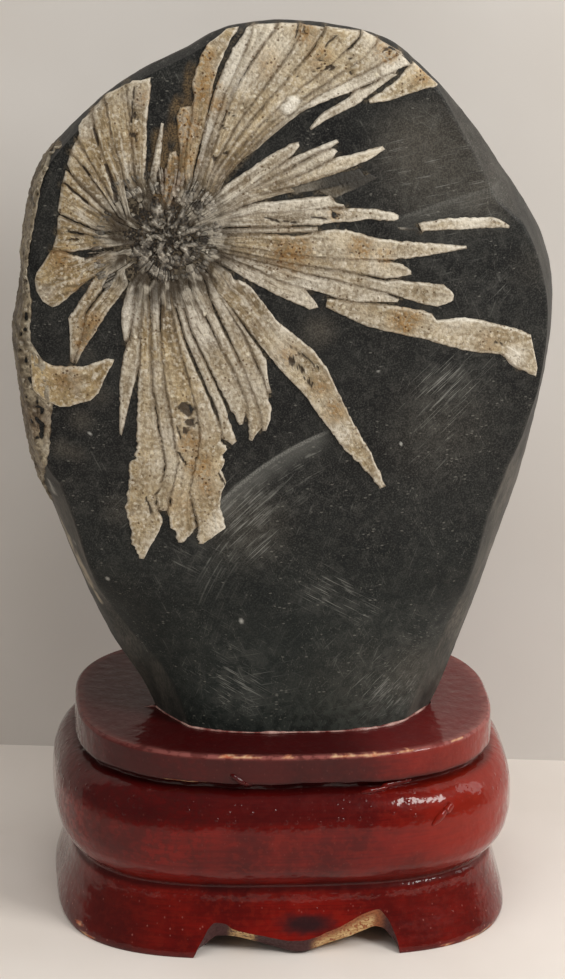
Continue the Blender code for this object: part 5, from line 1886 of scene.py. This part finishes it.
colour = layers(tree, colour, [
    (haze, 0.24, (92, 92, 88)),
    (times(tree, read(tree, "smear"), ease(tree, mottle["Fine"], 0.0, 1.0, 0.45, 1.0)), 0.42, (106, 100, 90)),
    (lines, 0.62, (146, 146, 140)),
    (specks["Speck"], 0.4, (140, 138, 130)),
    (dust["Speck"], 0.22, (130, 128, 120)),
    # Painted highlights: the glints.
    (read(tree, "painted_glint"), 0.75, (196, 195, 188)),
])
colour = mix(tree, times(tree, read(tree, "between"), 0.9), colour, dirt)
colour = mix(tree, times(tree, read(tree, "column"), 0.9), colour, rusty)
bevelled = times(tree, read(tree, "bevel"), ease(tree, rub["Fine"], 0.0, 1.0, 0.4, 0.95))
colour = mix(tree, bevelled, colour, worn)
colour = layers(tree, colour, [(read(tree, "strip"), 0.85, (164, 154, 134))])
pitted = times(tree, back, grains["Dome"], 0.8)
height = maths(tree, "ADD", times(tree, lines, -0.5), times(tree, cloud["Fine"], 0.4))
fill(tree, shader, {
    "Base Color": mix(tree, back, colour, skin),
    "Roughness": maths(tree, "ADD", ease(tree, lines, 0.0, 1.0, 0.47, 0.62), times(tree, back, 0.25)),
    "Specular IOR Level": 0.16,
    "Normal": bump(tree, maths(tree, "ADD", height, pitted), 0.5, 0.10),
})
print("ground stone:", len(tree.nodes), "nodes")

# %% [markdown]
# ## The crystals
#
# The blades are celestite turned to calcite: pale grey to tan, browner on the left, and whiter away from the
# heart except on the left, where that whitening is left off as painted shade. Fine fibres run along their
# length, so the stripes are noise that is stretched along the fibre direction that each blade carries.
# Ordinary noise would run across two blades as if they were one.

# %% Tones and fibres
tree, shader = open_finish("crystal")
place, fibre = position(tree), read(tree, "fibre", vector=True)
across = add(tree, "ShaderNodeSeparateXYZ", {0: place}).outputs[0]
wide = clouds(tree, stretch(tree, fibre, (0.05, 0.7, 1.0)), 1.0)
streak = clouds(tree, stretch(tree, fibre, (0.16, 2.2, 1.0)), 1.0, 4.0)
mottle, cloud, patch = (patches(tree, place, size) for size in (3.0, 7.0, 13.0))
grains = use(tree, "mixed_grains", place, Size=0.75)
cream = use(tree, "single_specks", place, Size=1.7, Share=0.16)["Speck"]
inner = read(tree, "inner")
grey = mix(tree, cloud["Broad"], light(174, 167, 154), light(230, 225, 213))
tan = mix(tree, cloud["Broad"], light(134, 112, 76), light(192, 169, 125))
# Whiter away from the heart, left off towards the left as painted shade.
outer = times(tree, ease(tree, inner, 0.7, 0.0, 0.0, 0.28), ease(tree, across, -52.0, -36.0),
              ease(tree, patch["Broad"], 0.9, 0.2, 0.25, 1.0))
colour = layers(tree, mix(tree, ease(tree, read(tree, "tone"), 0.3, 0.95), grey, tan), [
    (ease(tree, read(tree, "shade"), 0.0, 1.0, 1.0, 0.0), 0.40, (118, 103, 78)),
    (ease(tree, patch["Broad"], 0.35, 1.0), 0.45, (150, 128, 86)),
    (ease(tree, mottle["Broad"], 0.4, 1.0), 0.35, (112, 96, 70)),
    (ease(tree, patch["Broad"], 0.30, 0.0), 0.40, (206, 200, 188)),
    (outer, 1.0, (236, 226, 204)),
    (times(tree, ease(tree, wide, 0.50, 0.64), ease(tree, inner, 0.0, 1.0, 0.34, 0.75)), 1.0, (98, 84, 62)),
    (times(tree, ease(tree, wide, 0.46, 0.34), ease(tree, inner, 0.0, 1.0, 0.1, 0.55)), 1.0, (208, 201, 186)),
    (times(tree, ease(tree, streak, 0.50, 0.66), ease(tree, inner, 0.0, 1.0, 0.2, 0.6)), 1.0, (92, 76, 54)),
    (ease(tree, cloud["Fine"], 0.50, 1.0), 0.34, (214, 206, 188)),
    (ease(tree, cloud["Fine"], 0.45, 0.0), 0.38, (106, 88, 60)),
    (times(tree, cream, ease(tree, cloud["Fine"], 0.2, 0.7, 0.15, 0.6)), 1.0, (232, 222, 196)),
    (ease(tree, grains["Grey"], 0.84, 1.0), 0.45, (228, 220, 204)),
    (ease(tree, grains["Grey"], 0.12, 0.0), 0.40, (88, 70, 46)),
])
print("crystal, tones:", len(tree.nodes), "nodes")

# %% [markdown]
# ## Edges and seams of the blades
#
# A free edge gets a painted highlight, a pale rim along its rounded edge, and a painted shadow, a thin dark
# line where it meets the stone. Where two blades touch there is no pale rim, only a brown seam. The mark
# "joined" tells the two apart.

# %% Edges and seams
edge, joined, stain = read(tree, "edge"), read(tree, "joined"), read(tree, "stain")
free = maths(tree, "SUBTRACT", 1.0, times(tree, joined, 0.9))
# Painted highlight: a pale rim along each free edge.
painted_edge_highlight = times(tree, ease(tree, edge, 0.2, 1.1, 1.0, 0.0),
                ease(tree, cloud["Fine"], 0.1, 0.7, 0.2, 0.7), free)
# Painted shadow: a thin dark line where a free edge meets the stone.
line = times(tree, ease(tree, edge, 0.0, 0.34, 0.7, 0.0), ease(tree, streak, 0.35, 0.6, 0.4, 1.0))
seam = times(tree, ease(tree, edge, 0.15, 0.95, 0.85, 0.0), joined,
             ease(tree, cloud["Fine"], 0.1, 0.8, 0.35, 1.0))
spotted = most(tree, times(tree, stain, 0.5), ease(tree, patch["Broad"], 0.5, 1.0, 0.03, 0.18))
dots = use(tree, "single_specks", place, Size=0.95, Share=spotted)["Speck"]
pale = times(tree, read(tree, "pale"), ease(tree, cloud["Fine"], 0.0, 0.6, 0.5, 1.0))
colour = layers(tree, colour, [
    (painted_edge_highlight, 1.0, (222, 215, 200)), (most(tree, line, seam), 1.0, (82, 65, 42)),
    (dots, 0.75, (88, 62, 32)), (pale, 0.9, (234, 228, 214)),
])
print("crystal, edges:", len(tree.nodes), "nodes")

# %% [markdown]
# ## Broken grains, rust and pits
#
# Close to the heart the blades break up into pale and dark grains. Rust is like a glaze: it multiplies the
# colour under it, so the fibres still show through, and then darkens in dots. Pits are nearly black, and a
# blade that the grinding has only just reached is seen through a film of stone.

# %% Rust and pits
grain_zone = read(tree, "grain")
broken = mix(tree, ease(tree, read(tree, "ridge"), -0.15, 0.5), light(48, 39, 27), light(160, 153, 139))
colour = mix(tree, ease(tree, grain_zone, 0.0, 1.0, 0.0, 0.9), colour, broken)
colour = layers(tree, colour, [(times(tree, ease(tree, streak, 0.48, 0.60), grain_zone), 0.6, (60, 50, 36))])
rust = times(tree, stain, ease(tree, cloud["Fine"], 0.2, 0.75, 0.12, 1.0))
colour = mix(tree, times(tree, rust, 0.9), colour, light(220, 191, 138), "MULTIPLY")
colour = layers(tree, colour, [
    (rust, 0.46, (134, 95, 46)),
    (times(tree, stain, dots), 0.85, (78, 50, 24)),
    (ease(tree, read(tree, "hollow"), 0.2, 0.8), 0.9, (48, 36, 24)),
    (read(tree, "buried"), 0.98, (49, 47, 43)),
])
height = maths(tree, "ADD", times(tree, streak, 0.6), times(tree, cloud["Fine"], 0.9))
height = maths(tree, "SUBTRACT", maths(tree, "ADD", height, times(tree, grains["Dome"], 0.4)), dots)
fill(tree, shader, {
    "Base Color": colour,
    "Roughness": ease(tree, cloud["Fine"], 0.0, 1.0, 0.5, 0.72),
    "Specular IOR Level": 0.4,
    "Normal": bump(tree, height, 0.7, 0.25),
})
print("crystal:", len(tree.nodes), "nodes")

# %% [markdown]
# ## The heart and the left crust
#
# Both are rough floors of small crystals, so one function wires the two. How high a point stands sets its
# colour, darker in the low places and paler on the knobs, and the mixed grains break that up.

# %% The finish of the heart and of the crust


def grainy(name, low, high, dark, pale, size):
    """Grains of mixed greys, darker in the hollows and paler on the knobs, with a little rust."""
    tree, shader = open_finish(name)
    place = position(tree)
    grains = use(tree, "mixed_grains", place, Size=size)
    up = ease(tree, read(tree, "height"), low, high)
    up = times(tree, up, ease(tree, grains["Grey"], 0.0, 0.9, 0.35, 1.0))
    colour = layers(tree, mix(tree, up, light(*dark), light(*pale)), [
        (ease(tree, grains["Grey"], 0.88, 1.0), 0.5, (206, 199, 184)),
        (read(tree, "pale"), 0.6, (190, 181, 162)),
        (read(tree, "stain"), 0.35, (132, 94, 56)),
        (read(tree, "dark"), 0.9, (46, 35, 22)),
        (ease(tree, patches(tree, place, 3.5)["Fine"], 0.5, 1.0), 0.4, (104, 86, 62)),
        (ease(tree, read(tree, "hollow"), 0.3, 0.9), 0.85, (34, 27, 20)),
    ])
    fill(tree, shader, {
        "Base Color": colour,
        "Roughness": ease(tree, grains["Grey"], 0.0, 1.0, 0.45, 0.8),
        "Specular IOR Level": 0.4,
        "Normal": bump(tree, grains["Dome"], 0.8, 0.3),
    })
    print(name + ":", len(tree.nodes), "nodes")


grainy("crystal_heart", 0.0, 0.85, (27, 22, 16), (166, 159, 146), 0.9)
grainy("rim_crust", -0.2, 0.7, (62, 50, 35), (158, 147, 125), 0.9)

# %% [markdown]
# ## The colour of the lacquer
#
# The stand is coated with thick cherry lacquer: dark red wood seen through a clear glossy coat. The red is
# deeper low at the ends, the grooves are darker as painted shade, the top carries a painted reflection, and
# the right side is lighter as painted light. Dust has settled in the coat, and chips show the primer and the
# pale wood.

# %% Reds of the lacquer
tree, shader = open_finish("cherry_lacquer")
place = position(tree)
across, deep, high = add(tree, "ShaderNodeSeparateXYZ", {0: place}).outputs
cloud = patches(tree, place, 13.0)
grain = clouds(tree, stretch(tree, place, (0.05, 0.5, 1.3)), 1.0, 4.0)
chip = read(tree, "chip")
# Painted light: the lower right of the stand is lighter, as lit by the lamp on that side.
painted_light_right = times(tree, ease(tree, across, 24.0, 60.0), ease(tree, high, 14.0, 26.0, 0.1, 0.55))
toward_ends = ease(tree, maths(tree, "ABSOLUTE", across), 15.0, 40.0)
# Painted reflection on the top: dark on the left and in the middle, pinkish on the right.
top_painted_reflection = mix(tree, ease(tree, across, -20.0, 45.0), light(40, 6, 8), light(86, 24, 26))
colour = layers(tree, mix(tree, cloud["Broad"], light(84, 8, 6), light(124, 18, 9)), [
    (ease(tree, grain, 0.42, 0.64), 0.3, (56, 5, 4)),
    (ease(tree, cloud["Fine"], 0.5, 0.9), 0.2, (136, 32, 14)),
    (painted_light_right, 1.0, (150, 38, 18)),
    # Painted reflection: the left end greyer and lighter.
    (ease(tree, across, -30.0, -62.0), 0.5, (92, 34, 28)),
    (times(tree, toward_ends, ease(tree, high, 20.0, 12.0)), 0.4, (46, 10, 9)),
])
colour = mix(tree, ease(tree, high, 57.9, 58.3, 0.0, 0.75), colour, top_painted_reflection)
belly = times(tree, ease(tree, high, 24.0, 30.0), ease(tree, across, -14.0, -26.0))
dust = use(tree, "single_specks", stretch(tree, place, (1.0, 1.0, 0.7)), Size=0.7, Share=0.05)["Speck"]
colour = layers(tree, colour, [
    # Painted reflection: a dark band high on the front of the belly.
    (times(tree, ease(tree, high, 37.0, 42.0), ease(tree, across, 14.0, 34.0, 0.75, 0.1)), 1.0, (52, 8, 9)),
    (times(tree, belly, ease(tree, cloud["Fine"], 0.3, 0.8)), 0.45, (52, 12, 11)),
    # Painted shade in the grooves.
    (read(tree, "groove"), 0.75, (38, 5, 5)),
    # Painted reflection: the dark oval.
    (read(tree, "painted_dark_reflection"), 0.9, (30, 24, 26)),
    # Painted highlight along the rim of the plate.
    (times(tree, read(tree, "painted_rim_highlight"), ease(tree, cloud["Fine"], 0.1, 0.7, 0.3, 0.8),
           ease(tree, across, -52.0, -20.0, 0.3, 1.0)), 1.0, (150, 88, 82)),
])
colour = mix(tree, chip, colour, mix(tree, cloud["Fine"], light(176, 92, 66), light(214, 178, 140)))
colour = layers(tree, colour, [
    (times(tree, dust, ease(tree, high, 20.0, 4.0, 0.05, 0.32)), 1.0, (190, 120, 110)),
])
fill(tree, shader, {"Base Color": colour})
print("lacquer, reds:", len(tree.nodes), "nodes")

# %% [markdown]
# ## The gloss of the lacquer
#
# The gloss comes from the shader's clear coat over a dull red, as on the real thing. It has small bubbles
# under the groove and a slight orange-peel, which a bump gives well enough, and no coat where it's
# chipped.

# %% Gloss, bubbles and orange-peel
bubble = use(tree, "single_specks", place, Size=1.6, Share=0.22)["Speck"]
under_groove = times(tree, ease(tree, high, 36.0, 43.0), ease(tree, high, 46.0, 47.5, 1.0, 0.0))
raised = times(tree, bubble, maths(tree, "ADD", times(tree, under_groove, 0.5), 0.06))
height = maths(tree, "ADD", times(tree, clouds(tree, place, 0.32, 2.0), 1.1), raised)
normal = bump(tree, maths(tree, "SUBTRACT", height, chip), 0.6, 0.35)
fill(tree, shader, {
    "Roughness": maths(tree, "ADD", ease(tree, cloud["Fine"], 0.0, 1.0, 0.28, 0.42), times(tree, chip, 0.3)),
    "Specular IOR Level": 0.06,
    "Coat Weight": maths(tree, "SUBTRACT", 1.0, times(tree, chip, 0.8)),
    "Coat Roughness": 0.06,
    "Coat IOR": 1.32,
    "Normal": normal,
    "Coat Normal": normal,
})
print("lacquer:", len(tree.nodes), "nodes")

# %% [markdown]
# ## Bare wood, old wood and the bead
#
# The cut faces between the feet were left almost bare, and some lacquer has soaked into them. The hollow
# under the stand was never lacquered at all. Long growth lines, stretched along the stand, give both. The
# bead is lacquer too, its pale colour a painted highlight.

# %% The finish of wood and bead


def wooden(name, pale, dark, stained, roughness, bare=None):
    """Wood with long growth lines; bare is the share that lacquer hasn't reached, or reads the mark."""
    tree, shader = open_finish(name)
    place = position(tree)
    lines = clouds(tree, stretch(tree, place, (0.06, 0.9, 1.6)), 1.0, 5.0)
    cloud = patches(tree, place, 5.0)
    wood = mix(tree, ease(tree, lines, 0.38, 0.62), light(*pale), light(*dark))
    soaked = mix(tree, read(tree, "thin"), light(66, 26, 26), light(150, 84, 44))
    soaked = layers(tree, soaked, [(ease(tree, cloud["Fine"], 0.2, 0.9), 0.4, stained)])
    if bare is None:
        bare = times(tree, read(tree, "bare"), ease(tree, cloud["Fine"], 0.1, 0.45))
    fill(tree, shader, {
        "Base Color": mix(tree, bare, soaked, wood),
        "Roughness": ease(tree, cloud["Fine"], 0.0, 1.0, roughness, roughness + 0.2),
        "Normal": bump(tree, lines, 0.5, 0.2),
    })
    print(name + ":", len(tree.nodes), "nodes")


wooden("bare_wood", (214, 182, 130), (176, 134, 84), (46, 12, 10), 0.5)
wooden("old_wood", (120, 78, 52), (86, 52, 34), (60, 20, 14), 0.7, bare=0.75)

# The bead's pale colour is a painted highlight.
tree, shader = open_finish("lacquer_lip")
cloud = patches(tree, position(tree), 4.0)
fill(tree, shader, {
    "Base Color": mix(tree, cloud["Broad"], light(112, 50, 46), light(196, 158, 148)),
    "Roughness": ease(tree, cloud["Fine"], 0.0, 1.0, 0.15, 0.35),
})

# %% [markdown]
# ## Table and wall
#
# The stone stands on a pale table, close to a pale wall that runs a little askew behind it. Both are
# single flat faces. The wall is clear from behind, so that the back of the stone can be looked at too.

# %% The table and the wall


def sheet(name, corners, material):
    """One flat face through four corners, in the drawing's millimetres."""
    points = np.array(corners, dtype=float)
    mesh = bpy.data.meshes.new(name)
    mesh.from_pydata(((points + (CENTRING_MOVE, 0.0, 0.0)) * MM).tolist(), [], [(0, 1, 2, 3)])
    mesh.materials.append(material)
    thing = bpy.data.objects.new(name, mesh)
    bpy.context.scene.collection.objects.link(thing)
    thing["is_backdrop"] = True


def papery(name, first, second, size):
    """A matt surface of two close tones."""
    tree, shader = open_finish(name)
    cloud = patches(tree, position(tree), size)
    fill(tree, shader, {
        "Base Color": mix(tree, cloud["Broad"], light(*first), light(*second)),
        "Roughness": ease(tree, cloud["Fine"], 0.0, 1.0, 0.75, 0.9),
        "Specular IOR Level": 0.2,
    })
    return tree, shader


papery("table_top", (222, 214, 206), (228, 221, 214), 60.0)
tree, shader = papery("wall_paper", (216, 211, 205), (222, 218, 213), 90.0)
behind = add(tree, "ShaderNodeNewGeometry").outputs["Backfacing"]
clear = tree.nodes.new("ShaderNodeBsdfTransparent").outputs[0]
both = add(tree, "ShaderNodeMixShader", {0: behind, 1: shader.outputs[0], 2: clear})
fill(tree, next(node for node in tree.nodes if node.type == "OUTPUT_MATERIAL"), {"Surface": both.outputs[0]})

WALL_RUN, WALL_FOOT = np.array((164.7, -17.4)), np.array((8.9, 84.3))
WALL_HALF, WALL_HEIGHT, TABLE_HALF = 900.0, 1100.0, 1500.0
along_wall = WALL_RUN / np.hypot(*WALL_RUN)
left, right = WALL_FOOT - WALL_HALF * along_wall, WALL_FOOT + WALL_HALF * along_wall
corners = [(*left, 0.0), (*right, 0.0), (*right, WALL_HEIGHT), (*left, WALL_HEIGHT)]
sheet("wall", corners, finish["wall_paper"])
sheet("table", [(a * TABLE_HALF, b * TABLE_HALF, 0.0) for a, b in ((-1, -1), (1, -1), (1, 1), (-1, 1))],
      finish["table_top"])
print("wall's turn in degrees:", round(math.degrees(math.atan2(*along_wall[::-1])), 1))

# %% [markdown]
# ## Lamps and sky
#
# A soft lamp high on the right does most of the work, and its shadow falls on the wall to the left. A wide
# one above and a warm one on the left fill the shadows, and don't show in the gloss, which would look
# foggy otherwise. A small window on the right lights the end of the stand. The sky is an even grey.

# %% The lamps and the sky


def lamp(name, place, aim, size, watts, colour, shines):
    """A soft square lamp at a place in metres, turned towards a point; some don't show in the gloss."""
    data = bpy.data.lights.new(name, "AREA")
    data.shape, data.size, data.energy, data.color = "SQUARE", size, watts, colour
    thing = bpy.data.objects.new(name, data)
    thing.location = place
    thing.visible_glossy = shines
    away = np.array(place) - np.array(aim)
    thing.rotation_euler = (math.atan2(math.hypot(*away[:2]), away[2]), 0.0, math.atan2(away[0], -away[1]))
    bpy.context.scene.collection.objects.link(thing)


lamp("key", (0.52, -0.46, 0.60), (0.0, 0.0, 0.13), 0.26, 4.3, (1.0, 0.98, 0.95), True)
lamp("above", (-0.1, -0.35, 1.25), (0.0, 0.0, 0.1), 0.9, 6.5, (1.0, 0.99, 0.97), False)
lamp("left", (-1.1, -0.5, 0.55), (0.0, 0.0, 0.1), 0.7, 2.3, (1.0, 0.95, 0.88), False)
lamp("window", (0.55, 0.02, 0.35), (0.05, 0.0, 0.08), 0.3, 0.8, (1.0, 0.98, 0.96), True)
world = bpy.data.worlds.new("even_sky")
bpy.context.scene.world = world
world.use_nodes = True
sky = world.node_tree.nodes["Background"]
sky.inputs["Color"].default_value = light(236, 233, 230)
sky.inputs["Strength"].default_value = 0.17
bpy.context.scene.view_settings.view_transform = "Standard"
print("lamps:", len(bpy.data.lights))

# %% [markdown]
# ## The camera
#
# The camera looks down a little, from almost a metre away and slightly from the left, through a long lens.
# Its direction is a vector, and it's rolled by a degree and a half. Its matrix has right, up and backward
# as columns, because a camera looks along its own -Z.

# %% The camera
CAMERA_PLACE = np.array((-100.135, -921.761, 474.607))
FORWARD = np.array((0.09915641, 0.92936495, -0.35559639))
ROLL = math.radians(1.67)
right = np.cross(FORWARD, (0.0, 0.0, 1.0))
right /= np.linalg.norm(right)
up = np.cross(right, FORWARD)
right, up = right * math.cos(ROLL) + up * math.sin(ROLL), up * math.cos(ROLL) - right * math.sin(ROLL)
data = bpy.data.cameras.new("camera")
data.lens, data.sensor_width = 128.70, 36.0
data.clip_start, data.clip_end = 0.05, 20.0
camera = bpy.data.objects.new("camera", data)
camera.location = (CAMERA_PLACE + (CENTRING_MOVE, 0.0, 0.0)) * MM
camera.rotation_mode = "QUATERNION"
camera.rotation_quaternion = Matrix(np.column_stack((right, up, -FORWARD)).tolist()).to_quaternion()
bpy.context.scene.collection.objects.link(camera)
bpy.context.scene.camera = camera
print("camera at:", [round(v, 3) for v in camera.location])

# %% [markdown]
# ## Compare sizes
#
# Dressing a solid mustn't change its size. Both boxes, the solids' and the dressed stone's, are printed.

# %% Compare sizes
boxes = {"cad": cad_box, "visual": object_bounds()}
sizes = {name: [list(corner) for corner in box] for name, box in boxes.items()}
for name, (low, high) in sizes.items():
    print(name, "box in mm:", [round(1000.0 * (b - a), 1) for a, b in zip(low, high)])
